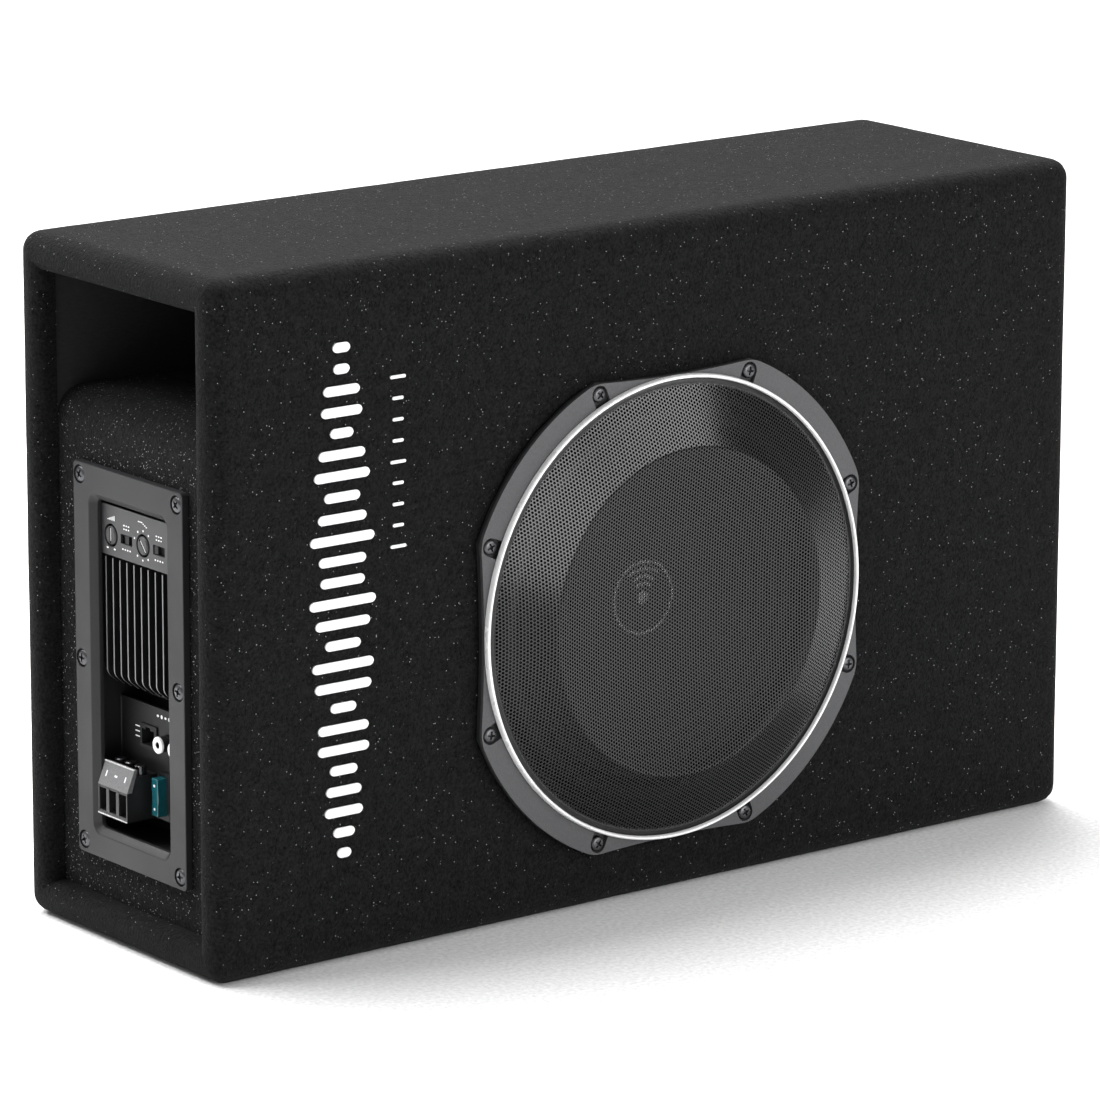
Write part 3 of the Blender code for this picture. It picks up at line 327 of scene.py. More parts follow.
def piece(name, mesh, look, body="enclosure", replaces=(), matrix=IN_PLACE):
    """An object of the visual model: its look, its body and its place."""
    obj = linked(name, mesh)
    if not mesh.materials:
        mesh.materials.append(LOOKS[look])
    obj.matrix_world = matrix
    if look not in PLAIN_NORMALS:
        obj.modifiers.new("weighted_normals", "WEIGHTED_NORMAL").keep_sharp = True
    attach(obj, body)
    if replaces:
        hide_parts(*replaces)
    return obj


def mesh_of(name, verts, faces):
    mesh = bpy.data.meshes.new(name)
    mesh.from_pydata([tuple(v) for v in verts], [], faces)
    mesh.validate()
    return mesh


def edited(mesh, change):
    """The mesh, after change has worked on it as a bmesh."""
    bm = bmesh.new()
    bm.from_mesh(mesh)
    change(bm)
    bm.to_mesh(mesh)
    bm.free()
    return mesh


def facing_out(mesh):
    return edited(mesh, lambda bm: bmesh.ops.recalc_face_normals(bm, faces=bm.faces))


def lathe_mesh(name, profile, segments=96, closed=True):
    """A mesh turned about local Z from (radius, height) points. Points at radius 0 close it."""
    verts = []
    rings = []
    for radius, height in profile:
        if radius < 1e-7:
            rings.append([len(verts)])
            verts.append((0.0, 0.0, height))
            continue
        rings.append(list(range(len(verts), len(verts) + segments)))
        for i in range(segments):
            angle = 2 * math.pi * i / segments
            verts.append((radius * math.cos(angle), radius * math.sin(angle), height))
    pairs = list(zip(rings, rings[1:]))
    if closed:
        pairs.append((rings[-1], rings[0]))
    faces = []
    for first, second in pairs:
        for i in range(segments):
            j = (i + 1) % segments
            corners = list(dict.fromkeys((first[i % len(first)], first[j % len(first)],
                                          second[j % len(second)], second[i % len(second)])))
            if len(corners) > 2:
                faces.append(corners)
    return smoothed(facing_out(mesh_of(name, verts, faces)))


def at(origin, direction="front", turn=0.0):
    """The place of a shape whose local Z points out of the box's front or left side."""
    return (Matrix.Translation(origin) @ AXES[direction]
            @ Matrix.Rotation(math.radians(turn), 4, "Z"))


def arc(centre, radius, start, end, steps):
    """Points along an arc, from one angle to another in degrees."""
    angles = [math.radians(start + (end - start) * i / steps) for i in range(steps + 1)]
    return [(centre[0] + radius * math.cos(angle), centre[1] + radius * math.sin(angle))
            for angle in angles]


def corner_arcs(low, high, radius, steps):
    """The four corners of a rounded rectangle, in turn."""
    centres = [(high[0] - radius, low[1] + radius), (high[0] - radius, high[1] - radius),
               (low[0] + radius, high[1] - radius), (low[0] + radius, low[1] + radius)]
    return [arc(centre, radius, start, start + 90, steps)
            for centre, start in zip(centres, (-90, 0, 90, 180))]


def rounded(low, high, radius, steps=8):
    """The outline of a rectangle with rounded corners."""
    return sum(corner_arcs(low, high, radius, steps), [])


def evaluated(obj):
    """A new mesh of an object as its modifiers leave it."""
    bpy.context.view_layer.update()
    return bpy.data.meshes.new_from_object(
        obj.evaluated_get(bpy.context.evaluated_depsgraph_get()))


def plate_mesh(name, outlines, low, high, edge=0.0003, segments=2):
    """Flat outlines (the first outside, the rest holes) from low to high, with eased edges."""
    curve = bpy.data.curves.new(name, "CURVE")
    curve.dimensions = "2D"
    curve.fill_mode = "BOTH"
    curve.extrude = (high - low) / 2
    for outline in outlines:
        spline = curve.splines.new("POLY")
        spline.points.add(len(outline) - 1)
        for point, (a, b) in zip(spline.points, outline):
            point.co = (a, b, 0.0, 1.0)
        spline.use_cyclic_u = True
    source = linked(name, curve)
    mesh = evaluated(source)
    bpy.data.objects.remove(source, do_unlink=True)
    bpy.data.curves.remove(curve)
    bm = bmesh.new()
    bm.from_mesh(mesh)
    bmesh.ops.remove_doubles(bm, verts=bm.verts, dist=1e-6)
    bmesh.ops.translate(bm, verts=bm.verts, vec=(0, 0, (low + high) / 2))
    if edge > 0:
        sharp = [e for e in bm.edges if len(e.link_faces) == 2 and e.calc_face_angle() > 0.7]
        bmesh.ops.bevel(bm, geom=sharp, offset=edge, segments=segments, profile=0.5,
                        affect="EDGES", clamp_overlap=True)
    bm.to_mesh(mesh)
    bm.free()
    mesh.materials.clear()
    mesh.name = name
    return smoothed(mesh)


def box_mesh(name, low, high, edge=0.0003, segments=2):
    """A box from its lowest to its highest corner, with eased edges."""
    bm = bmesh.new()
    bmesh.ops.create_cube(bm, size=1.0)
    size = Vector(high) - Vector(low)
    middle = (Vector(high) + Vector(low)) / 2
    bm.transform(Matrix.Translation(middle) @ Matrix.Diagonal((*size, 1.0)))
    bmesh.ops.bevel(bm, geom=list(bm.edges), offset=edge, segments=segments, profile=0.5,
                    affect="EDGES", clamp_overlap=True)
    mesh = bpy.data.meshes.new(name)
    bm.to_mesh(mesh)
    bm.free()
    return smoothed(mesh)


def cut(mesh, tools, angle=30.0):
    """The mesh less the tool meshes, which are given as (mesh, matrix) pairs."""
    target = linked("cut_target", mesh)
    made = []
    for tool, matrix in tools:
        obj = linked("cut_tool", tool)
        obj.matrix_world = matrix
        modifier = target.modifiers.new("cut", "BOOLEAN")
        modifier.operation = "DIFFERENCE"
        modifier.solver = "EXACT"
        modifier.object = obj
        made.append(obj)
    result = evaluated(target)
    for obj in [target, *made]:
        bpy.data.objects.remove(obj, do_unlink=True)
    result.name = mesh.name
    result.materials.clear()
    return smoothed(result, angle)


# ---- camera
AZIMUTH, ELEVATION, ROLL = -37.66, 13.71, 0.13
TARGET = Vector((-0.0064, 0.0096, 0.1633))
DISTANCE = 3.2453
azimuth, elevation = math.radians(AZIMUTH), math.radians(ELEVATION)
back = Vector((math.sin(azimuth) * math.cos(elevation), -math.cos(azimuth) * math.cos(elevation),
               math.sin(elevation)))
camera = linked("camera", bpy.data.cameras.new("camera"))
camera.data.lens = 207.8
camera.data.sensor_width = 36.0
camera.data.clip_start = 0.1
camera.data.clip_end = 100.0
camera.rotation_mode = "QUATERNION"
camera.location = TARGET + back * DISTANCE
roll = Matrix.Rotation(math.radians(ROLL), 4, back).to_quaternion()
camera.rotation_quaternion = roll @ (-back).to_track_quat("-Z", "Y")
scene.camera = camera

# ---- carpet
EDGE_RADIUS = 0.010
MOUTH_RADIUS = 0.007
CARPET = 0.0015
PRESSED = 0.0004
WALL = 0.0186
LINING_X = recess_low.x - 0.0003
END_SEAM = 0.014
SEAM_HALF = 0.0016
END_REACH = 0.080
CUTOUT_RADIUS = 0.1138
GRID = 0.0065


def perimeter(offset):
    """Places (y, z) round the box, at a distance in from its outer faces."""
    corners = corner_arcs((FRONT_Y + offset, offset), (BACK_Y - offset, HEIGHT - offset),
                          max(EDGE_RADIUS - offset, 0.0004), 5)
    counts = [int(HEIGHT / GRID), int((BACK_Y - FRONT_Y) / GRID)] * 2
    points = []
    for i, corner in enumerate(corners):
        first, last = Vector(corner[-1]), Vector(corners[(i + 1) % 4][0])
        points += corner
        points += [tuple(first.lerp(last, k / counts[i])) for k in range(1, counts[i])]
    return points


def cover_section(inset):
    """The cover's section, as (x, distance in from the outer faces): from the middle of the
    right end, over its edge, along the box and round the open end's walls into the recess."""
    section = []
    for k in range(12):
        offset = END_REACH - (END_REACH - END_SEAM - SEAM_HALF) * k / 11
        section.append((RIGHT_X - inset, offset))
    if inset == 0:
        section += [(RIGHT_X - 0.0002, END_SEAM + SEAM_HALF / 2), (RIGHT_X - 0.0009, END_SEAM),
                    (RIGHT_X - 0.0002, END_SEAM - SEAM_HALF / 2)]
    section.append((RIGHT_X - inset, END_SEAM - SEAM_HALF))
    section += arc((RIGHT_X - EDGE_RADIUS, EDGE_RADIUS), EDGE_RADIUS - inset, 0, -90, 5)
    count = int((RIGHT_X - LEFT_X) / GRID)
    first, last = RIGHT_X - EDGE_RADIUS, LEFT_X + EDGE_RADIUS
    section += [(first + (last - first) * k / count, inset) for k in range(1, count)]
    section += arc((LEFT_X + EDGE_RADIUS, EDGE_RADIUS), EDGE_RADIUS - inset, 270, 180, 5)
    section += arc((LEFT_X + MOUTH_RADIUS, WALL - MOUTH_RADIUS), MOUTH_RADIUS - inset, 180, 90, 5)
    section.append((LINING_X, WALL - inset))
    return section


def uneven(mesh, depth):
    """Presses a surface in by small uneven amounts, as carpet over a board lies."""
    normals = [vertex.normal.copy() for vertex in mesh.vertices]
    for vertex, normal in zip(mesh.vertices, normals):
        place = vertex.co
        amount = 0.5 + 0.5 * (0.65 * noise.noise(place * 26.0) + 0.35 * noise.noise(place * 160.0))
        vertex.co = place - normal * depth * amount


def lofted(name, rows, caps):
    """A mesh from rows of matching closed rings, with faces over the rows that caps names."""
    count = len(rows[0])
    verts = [point for row in rows for point in row]
    faces = []
    for i in range(len(rows) - 1):
        for j in range(count):
            k = (j + 1) % count
            faces.append((i * count + j, i * count + k, (i + 1) * count + k, (i + 1) * count + j))
    for row in caps:
        faces.append([row * count + j for j in range(count)])
    return mesh_of(name, verts, faces)


outer = cover_section(0.0)
inner = list(reversed(cover_section(CARPET)))
rows = [[(x, y, z) for y, z in perimeter(offset)] for x, offset in outer + inner]
cover = facing_out(lofted("carpet_cover", rows, (0, len(rows) - 1)))
uneven(cover, PRESSED)
opening = lathe_mesh("opening", [(0, 0.01), (CUTOUT_RADIUS, 0.01), (CUTOUT_RADIUS, -0.01), (0, -0.01)],
                     96, False)
carpet_cover = piece("carpet_cover", cut(cover, [(opening, at(DRIVER))], 60), "carpet",
                     replaces=("carpet_wrap", "carpet_bottom", "carpet_end"))

# the recess: a lining behind the panel that turns over the port's lower lip
LIP_RADIUS = 0.0158
recess_x = recess_low.x
port_z = recess_high.z
lip_centre = (recess_x + LIP_RADIUS, port_z - LIP_RADIUS)


def recess_section(inset):
    """The lining's section (x, z): up behind the panel, round the lip and along the port's floor."""
    rise = (lip_centre[1] - recess_low.z) / 36
    run = (recess_high.x - lip_centre[0]) / 8
    points = [(recess_x + inset, recess_low.z + k * rise) for k in range(36)]
    points += arc(lip_centre, LIP_RADIUS - inset, 180, 90, 10)
    return points + [(lip_centre[0] + k * run, port_z - inset) for k in range(1, 9)]


section = recess_section(0.0) + list(reversed(recess_section(CARPET)))
lanes = int((recess_high.y - recess_low.y) / GRID)
across = [recess_low.y + (recess_high.y - recess_low.y) * i / lanes for i in range(lanes + 1)]
rows = [[(x, y, z) for x, z in section] for y in across]
lining = facing_out(lofted("recess_lining", rows, (0, len(rows) - 1)))
uneven(lining, PRESSED)
housing_low, housing_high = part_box("amp_housing")
window = box_mesh("window", (recess_x - 0.02, housing_low.y - 0.0004, housing_low.z - 0.0004),
                  (recess_x + 0.02, housing_high.y + 0.0004, housing_high.z + 0.0004), 0.0001, 1)
recess_lining = piece("recess_lining", cut(lining, [(window, IN_PLACE)], 60), "carpet_recess",
                      replaces=("carpet_recess",))

# ---- raised print on the front
PRINT_X = -0.198
PRINT_LOW_Z, PRINT_HIGH_Z = 0.054, 0.310
PRINT_WIDTH = 0.046
BARS = 25
BAR_THICK = 0.0048
TICK_X = -0.1645
TICK_LOW_Z, TICK_STEP = 0.205, 0.0105
TICK_THICK = 0.0016


def joined(name, meshes):
    """One mesh out of several."""
    result = bpy.data.meshes.new(name)
    return smoothed(edited(result, lambda bm: [bm.from_mesh(mesh) for mesh in meshes]))


def strip_mesh(name, x, z, half, thick, radius, proud):
    """A soft-edged raised strip on the front, centred at (x, z)."""
    outline = rounded((x - half, z - thick / 2), (x + half, z + thick / 2), radius, 5)
    return plate_mesh(name, [outline], -0.0006, proud, 0.00035, 3)


bars = []
for i in range(BARS):
    t = i / (BARS - 1)
    swell = 0.26 + 0.60 * math.sin(math.pi * t) ** 0.7
    beat = 0.42 + 0.58 * abs(math.sin(2.17 * i + 0.5))
    half = PRINT_WIDTH / 2 * swell * beat
    z = PRINT_LOW_Z + BAR_THICK / 2 + (PRINT_HIGH_Z - PRINT_LOW_Z - BAR_THICK) * t
    bars.append(strip_mesh("bar", PRINT_X, z, half, BAR_THICK, 0.0026, 0.0005))
for i in range(9):
    half = 0.0032 if i % 4 else 0.0046
    bars.append(strip_mesh("tick", TICK_X, TICK_LOW_Z + TICK_STEP * i, half, TICK_THICK, 0.0007, 0.0004))
piece("front_print", joined("front_print", bars), "print",
      matrix=at(Vector((0, FRONT_Y, 0))))

# ---- driver, fixed pieces
BOLT_RADIUS = 0.1246
TRIM_RADIUS = 0.131
TRIM_INNER = 0.1135
TRIM_SAG = 0.0018
NOTCH_RADIUS = 0.0047
trim_low, trim_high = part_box("trim_ring")
TRIM_BASE, TRIM_TOP = FRONT_Y - trim_high.y, FRONT_Y - trim_low.y


def eased(points, step, window):
    """A closed outline with its corners softened by a moving average."""
    loop = np.array(points + points[:1])
    lengths = np.concatenate([[0], np.cumsum(np.linalg.norm(np.diff(loop, axis=0), axis=1))])
    count = int(lengths[-1] / step)
    at_length = np.linspace(0, lengths[-1], count, endpoint=False)
    even = np.stack([np.interp(at_length, lengths, loop[:, k]) for k in range(2)], 1)
    total = sum(np.roll(even, k, axis=0) for k in range(-window, window + 1))
    return [tuple(point) for point in total / (2 * window + 1)]


def trim_outline():
    """Four arcs joined by four flats that dip inwards a little."""
    points = []
    for quarter in range(4):
        start = 22.5 + 90 * quarter
        points += arc((0, 0), TRIM_RADIUS, start, start + 45, 24)
        first = Vector(points[-1])
        last = Vector(arc((0, 0), TRIM_RADIUS, start + 90, start + 90, 1)[0])
        inward = -((first + last) / 2).normalized()
        for t in (i / 24 for i in range(1, 24)):
            points.append(tuple(first.lerp(last, t) + inward * TRIM_SAG * 4 * t * (1 - t)))
    return eased(points, 0.0022, 2)


def notched_circle(radius):
    """A circle with a U-shaped notch running out round each screw."""
    points = []
    half = math.asin(NOTCH_RADIUS / radius)
    for i in range(8):
        middle = math.radians(22.5 + 45 * i)
        cap = arc((BOLT_RADIUS, 0), NOTCH_RADIUS, -90, 90, 14)
        outline = [(radius * math.cos(half), -NOTCH_RADIUS)] + cap
        outline.append((radius * math.cos(half), NOTCH_RADIUS))
        for a, b in outline:
            points.append((a * math.cos(middle) - b * math.sin(middle),
                           a * math.sin(middle) + b * math.cos(middle)))
        first = math.degrees(middle + half)
        points += arc((0, 0), radius, first, first + 45 - 2 * math.degrees(half), 12)[1:-1]
    return points


trim = plate_mesh("driver_trim", [trim_outline(), notched_circle(TRIM_INNER)],
                  TRIM_BASE, TRIM_TOP, 0.0005, 3)
piece("driver_trim", trim, "trim", replaces=("trim_ring",), matrix=at(DRIVER))


def screw_head(name, radius, height, shank, length):
    """A pan head with a cross recess, and its shank."""
    profile = [(0.0, height), (radius * 0.45, height * 0.985), (radius * 0.72, height * 0.90),
               (radius * 0.90, height * 0.68), (radius * 0.985, height * 0.38),
               (radius, height * 0.12), (radius * 0.985, 0.0), (shank, 0.0), (shank, -length),
               (0.0, -length)]
    head = lathe_mesh(name, profile, 40, False)
    tools = []
    for turn in (0, 90):
        wing = box_mesh("wing", (-radius * 0.56, -radius * 0.12, height * 0.25),
                        (radius * 0.56, radius * 0.12, height * 2), 0.00008, 1)
        tools.append((wing, Matrix.Rotation(math.radians(turn), 4, "Z")))
    pit = lathe_mesh("pit", [(0, height * 2), (radius * 0.27, height * 2),
                             (radius * 0.27, height * 0.5), (0, height * 0.1)], 16, False)
    tools.append((pit, IN_PLACE))
    return cut(head, tools)


HEAD_HEIGHT = 0.0024
driver_screw = screw_head("driver_screw", 0.0040, HEAD_HEIGHT, 0.0019, 0.012)
for i in range(8):
    low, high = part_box("driver_screw_%d" % (i + 1))
    seat = Vector(((low.x + high.x) / 2, low.y + HEAD_HEIGHT, (low.z + high.z) / 2))
    piece("driver_screw_head_%d" % (i + 1), driver_screw, "screw",
          replaces=("driver_screw_%d" % (i + 1),), matrix=at(seat, turn=17 + 61 * i))

RING_BASE, RING_TOP = FRONT_Y - ring_high.y, FRONT_Y - ring_low.y
RING_RADIUS = (ring_high.x - ring_low.x) / 2
RING_BAND = 0.0022
ring_profile = [(RING_RADIUS - RING_BAND / 2 - RING_BAND / 2 * math.cos(math.radians(a)),
                 RING_BASE + (RING_TOP - RING_BASE) * math.sin(math.radians(a)) ** 0.7)
                for a in range(0, 181, 12)]
# painted reflection: the ring's near-white look stands in for the light it reflects
piece("bright_ring", lathe_mesh("bright_ring", ring_profile, 192), "silver",
      replaces=("grille_ring",), matrix=at(DRIVER))

# ---- perforated grille
CREASE_RADIUS = 0.084
SPLIT_RADIUS = 0.060
CONE_FOOT = 0.1135
SHEET_RADIUS = 0.1142
SHEET_EDGE = 0.0075
SHEET_THICK = 0.0008
DISH = 0.0065
PITCH = 0.00189
HOLE_RADIUS = 0.00070
GRILLE_TOP = FRONT_Y - cad_low.y


def sheet_height(radius):
    """The grille's front above the box: a cone up to a soft crease, and a dish inside it."""
    share = (CONE_FOOT - radius) / (CONE_FOOT - CREASE_RADIUS)
    cone = SHEET_EDGE + share * (GRILLE_TOP - SHEET_EDGE)
    dish = GRILLE_TOP - DISH * (1 - (radius / CREASE_RADIUS) ** 2)
    low = np.minimum(cone, dish)
    blend = np.clip(0.5 + np.abs(cone - dish) / 0.0012, 0, 1)
    return np.maximum(low - 0.0002 * (1 - blend), SHEET_EDGE - 0.0004)


def around(centres, count, radius):
    """Points evenly spaced round each centre."""
    angles = np.radians(360 // count * np.arange(count))
    return centres[:, None, :] + radius * np.stack([np.cos(angles), np.sin(angles)], 1)


def perforated_mesh(name, inside, outside):
    """Hexagonal cells in columns between two radii, each with a round hole through the sheet."""
    reach = 2 * int(SHEET_RADIUS / PITCH) + 4
    cells = [(i * PITCH * math.sqrt(3) / 2, (j + (i % 2) / 2) * PITCH)
             for i in range(-reach, reach + 1) for j in range(-reach, reach + 1)]
    centres = np.array([cell for cell in cells if inside <= math.hypot(*cell) < outside])
    corners = around(centres, 6, PITCH / math.sqrt(3))
    keys = np.round(corners.reshape(-1, 2) / (PITCH * 0.01)).astype(np.int64)
    _, first, index = np.unique(keys, axis=0, return_index=True, return_inverse=True)
    shared = corners.reshape(-1, 2)[first]
    index = index.reshape(-1, 6)
    rim = around(centres, 12, HOLE_RADIUS).reshape(-1, 2)
    flat = np.concatenate([shared, rim])
    top = np.column_stack([flat, sheet_height(np.hypot(flat[:, 0], flat[:, 1]))])
    under = np.column_stack([rim, sheet_height(np.hypot(rim[:, 0], rim[:, 1])) - SHEET_THICK])
    verts = np.concatenate([top, under])
    rim_start, under_start = len(shared), len(shared) + len(rim)
    faces = []
    for c in range(len(centres)):
        a = rim_start + 12 * c
        b = under_start + 12 * c
        for k in range(6):
            n = (k + 1) % 6
            h0, h1, h2 = a + 2 * k, a + 2 * k + 1, a + (2 * k + 2) % 12
            faces.append((int(index[c, k]), int(index[c, n]), h2, h1, h0))
        for k in range(0, 12, 2):
            m = (k + 2) % 12
            faces.append((a + k, a + m, b + m, b + k))
    mesh = bpy.data.meshes.new(name)
    mesh.from_pydata(verts.tolist(), [], faces)
    return smoothed(mesh, 40)


for name, inside, outside in (("grille_dish", 0.0, SPLIT_RADIUS),
                              ("grille_dish_edge", SPLIT_RADIUS, CREASE_RADIUS),
                              ("grille_band", CREASE_RADIUS, SHEET_RADIUS)):
    piece(name, perforated_mesh(name, inside, outside), "mesh",
          replaces=("grille_mesh",), matrix=at(DRIVER))
rim_profile = [(0.1130, 0.0062), (0.1134, 0.0071), (0.1146, 0.0072), (0.1158, 0.0064),
               (0.1166, 0.0063), (0.1171, 0.0072), (0.1171, 0.0062)]
piece("grille_rim", lathe_mesh("grille_rim", rim_profile, 160), "rubber",
      matrix=at(DRIVER))

# ---- driver, moving pieces
CONE_EDGE, CONE_NECK = -0.0050, -0.0215
CONE_RADIUS, NECK_RADIUS = 0.0860, 0.0335
PAPER = 0.0012
CAP_RADIUS = 0.0460
CAP_DISH = 0.0015
CAP_RIM = FRONT_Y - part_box("dust_cap")[0].y


def cone_height(radius):
    """The cone's front above the box, negative because it lies behind: a curved flare."""
    share = (CONE_RADIUS - radius) / (CONE_RADIUS - NECK_RADIUS)
    return CONE_EDGE + (CONE_NECK - CONE_EDGE) * math.sin(share * math.pi / 2)


def cap_height(radius):
    """The cap's front above the box, dished in the middle."""
    return CAP_RIM - CAP_DISH * (1 - (radius / CAP_RADIUS) ** 2)


stations = [NECK_RADIUS + (CONE_RADIUS - NECK_RADIUS) * k / 60 for k in range(61)]
profile = [(r, cone_height(r) + 0.0005 * math.sin(r * 1100)) for r in stations]
profile += [(0.0900, CONE_EDGE), (0.0900, CONE_EDGE - PAPER)]
profile += [(r, cone_height(r) - PAPER) for r in reversed(stations)]
piece("paper_cone", lathe_mesh("paper_cone", profile, 96), "cone",
      body="moving_assembly", replaces=("cone",), matrix=at(DRIVER))
stations = [CAP_RADIUS * k / 10 for k in range(11)]
profile = [(r, cap_height(r)) for r in stations]
profile += [(CAP_RADIUS + 0.0004, cap_height(CAP_RADIUS) - PAPER / 2)]
profile += [(r, cap_height(r) - PAPER) for r in reversed(stations)]
piece("dished_cap", lathe_mesh("dished_cap", profile, 80, False), "cap",
      body="moving_assembly", replaces=("dust_cap",), matrix=at(DRIVER))


def wave_outline(radius):
    """A band along an arc of 76 degrees."""
    points = arc((0, 0), radius + 0.0008, -38, 38, 19)
    return points + list(reversed(arc((0, 0), radius - 0.0008, -38, 38, 19)))


badge_low, badge_high = cap_height(0.010) - 0.0001, cap_height(0.019) + 0.0005
ring_outlines = [arc((0, 0), 0.0192, 0, 355, 71), arc((0, 0), 0.0178, 0, 355, 71)]
dot_outline = arc((0, 0), 0.0034, 0, 350, 35)
badge = [plate_mesh("badge_ring", ring_outlines, badge_low, badge_high, 0.0001, 1),
         plate_mesh("badge_dot", [dot_outline], badge_low - 0.0004, badge_high, 0.0001, 1)]
for radius in (0.0072, 0.0112, 0.0150):
    badge.append(plate_mesh("badge_wave", [wave_outline(radius)], badge_low, badge_high, 0.0001, 1))
piece("cap_badge", joined("cap_badge", badge), "ink", body="moving_assembly",
      matrix=at(DRIVER, turn=90))

ROLL_RADIUS = 0.0980
ROLL_INNER, ROLL_OUTER = 0.0870, 0.1088
RUBBER = 0.0010
WEDGES = 20
WEDGE_STEPS = 5
roll_low = CONE_EDGE + 0.0003
roll_profile = [(ROLL_INNER, roll_low), (ROLL_INNER, roll_low + RUBBER)]
roll_profile += arc((ROLL_RADIUS, roll_low), 0.0082, 172, 8, 14)
roll_profile += [(ROLL_OUTER, roll_low + RUBBER), (ROLL_OUTER, roll_low)]
roll_profile += arc((ROLL_RADIUS, roll_low), 0.0072, 0, 180, 14)
for i in range(WEDGES):
    rows = []
    for k in range(WEDGE_STEPS + 1):
        angle = 2 * math.pi * (i + k / WEDGE_STEPS) / WEDGES
        rows.append([(r * math.cos(angle), r * math.sin(angle), h) for r, h in roll_profile])
    wedge = facing_out(lofted("surround_wedge", rows, (0, WEDGE_STEPS)))
    wedge.transform(at(DRIVER))
    wedge.materials.append(LOOKS["rubber"])
    obj = linked("surround_wedge_%02d" % (i + 1), smoothed(wedge, 50))
    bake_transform(obj)
    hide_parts("surround")

# ---- amplifier panel
CHAMFER = 0.0032
BEZEL_THICK = bezel_high.x - bezel_low.x
PLATE_THICK = 0.0037
WINDOW_LOW, WINDOW_HIGH = (0.051, PANEL_Y - 0.0338), (0.224, PANEL_Y + 0.0338)


def ring_mesh(name, rings, steps=8):
    """A closed frame from rounded rectangles (low, high, inset, radius, height)."""
    rows = []
    for low, high, inset, radius, height in rings:
        outline = rounded((low[0] + inset, low[1] + inset), (high[0] - inset, high[1] - inset),
                          radius, steps)
        rows.append([(a, b, height) for a, b in outline])
    mesh = edited(lofted(name, rows + rows[:1], ()),
                  lambda bm: bmesh.ops.remove_doubles(bm, verts=bm.verts, dist=1e-7))
    return smoothed(facing_out(mesh), 30)


outer = ((bezel_low.z, bezel_low.y), (bezel_high.z, bezel_high.y))
window_edges = (WINDOW_LOW, WINDOW_HIGH)
collar = ((housing_low.z + 0.0003, housing_low.y + 0.0003),
          (housing_high.z - 0.0003, housing_high.y - 0.0003))
bezel_rings = [
    (*outer, 0.0, 0.0025, -PLATE_THICK),
    (*outer, 0.0, 0.0025, -0.0006),
    (*outer, 0.00018, 0.0023, -0.00018),
    (*outer, 0.0006, 0.0019, 0.0),
    (*window_edges, -0.0005, 0.0065, 0.0),
    (*window_edges, 0.0001, 0.0059, -0.0002),
    (*window_edges, CHAMFER - 0.0002, 0.0030, -CHAMFER + 0.0003),
    (*window_edges, CHAMFER, 0.0028, -CHAMFER - 0.0002),
    (*window_edges, CHAMFER, 0.0028, -BEZEL_THICK),
    (*collar, 0.0, 0.004, -BEZEL_THICK),
    (*collar, 0.0, 0.004, -PLATE_THICK),
]
bezel = ring_mesh("panel_bezel", bezel_rings)
hole_profile = [(0, 0.01), (0.0047, 0.01), (0.0047, -0.0019), (0.0021, -0.0019), (0.0021, -0.02),
                (0, -0.02)]
seats = []
for i in range(6):
    low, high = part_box("amp_screw_%d" % (i + 1))
    seats.append(Vector((BEZEL_X + 0.0017, (low.y + high.y) / 2, (low.z + high.z) / 2)))
holes = [(lathe_mesh("hole", hole_profile, 32, False), Matrix.Translation((seat.z, seat.y, 0)))
         for seat in seats]
piece("panel_bezel", cut(bezel, holes), "bezel", replaces=("amp_bezel",),
      matrix=at(Vector((BEZEL_X, 0, 0)), "left"))
amp_screw = screw_head("amp_screw", 0.0042, 0.0019, 0.0018, 0.0135)
for i, seat in enumerate(seats):
    piece("amp_screw_head_%d" % (i + 1), amp_screw, "screw",
          replaces=("amp_screw_%d" % (i + 1),), matrix=at(seat, "left", 23 + 77 * i))

PLATE_FACE = control_low.x
CONTROL_Z = 0.2035
GAIN_Y, FILTER_Y = PANEL_Y + 0.0226, PANEL_Y - 0.0052
MODE_Y, POLARITY_Y = PANEL_Y + 0.0092, PANEL_Y - 0.0189
KNOB_RADIUS = 0.0050
SWITCH_HALF = (0.0024, 0.0050)
outlines = [rounded((control_low.z, control_low.y), (control_high.z, control_high.y), 0.0016, 6)]
for y in (GAIN_Y, FILTER_Y):
    outlines.append(arc((CONTROL_Z, y), KNOB_RADIUS + 0.0008, 0, 352, 44))
for y in (MODE_Y, POLARITY_Y):
    outlines.append(rounded((CONTROL_Z - SWITCH_HALF[0], y - SWITCH_HALF[1]),
                            (CONTROL_Z + SWITCH_HALF[0], y + SWITCH_HALF[1]), 0.0003, 3))
on_plate = at(Vector((PLATE_FACE, 0, 0)), "left")
plate = plate_mesh("control_panel", outlines, control_low.x - control_high.x, 0, 0.0002)
piece("control_panel", plate, "panel", replaces=("control_plate",), matrix=on_plate)


def mark(z, y, size_z, size_y):
    """A printed dash on the panel, centred at (z, y)."""
    outline = rounded((z - size_z / 2, y - size_y / 2), (z + size_z / 2, y + size_y / 2),
                      min(size_z, size_y) * 0.45, 2)
    return plate_mesh("mark", [outline], -0.00005, 0.00005, 0, 1)


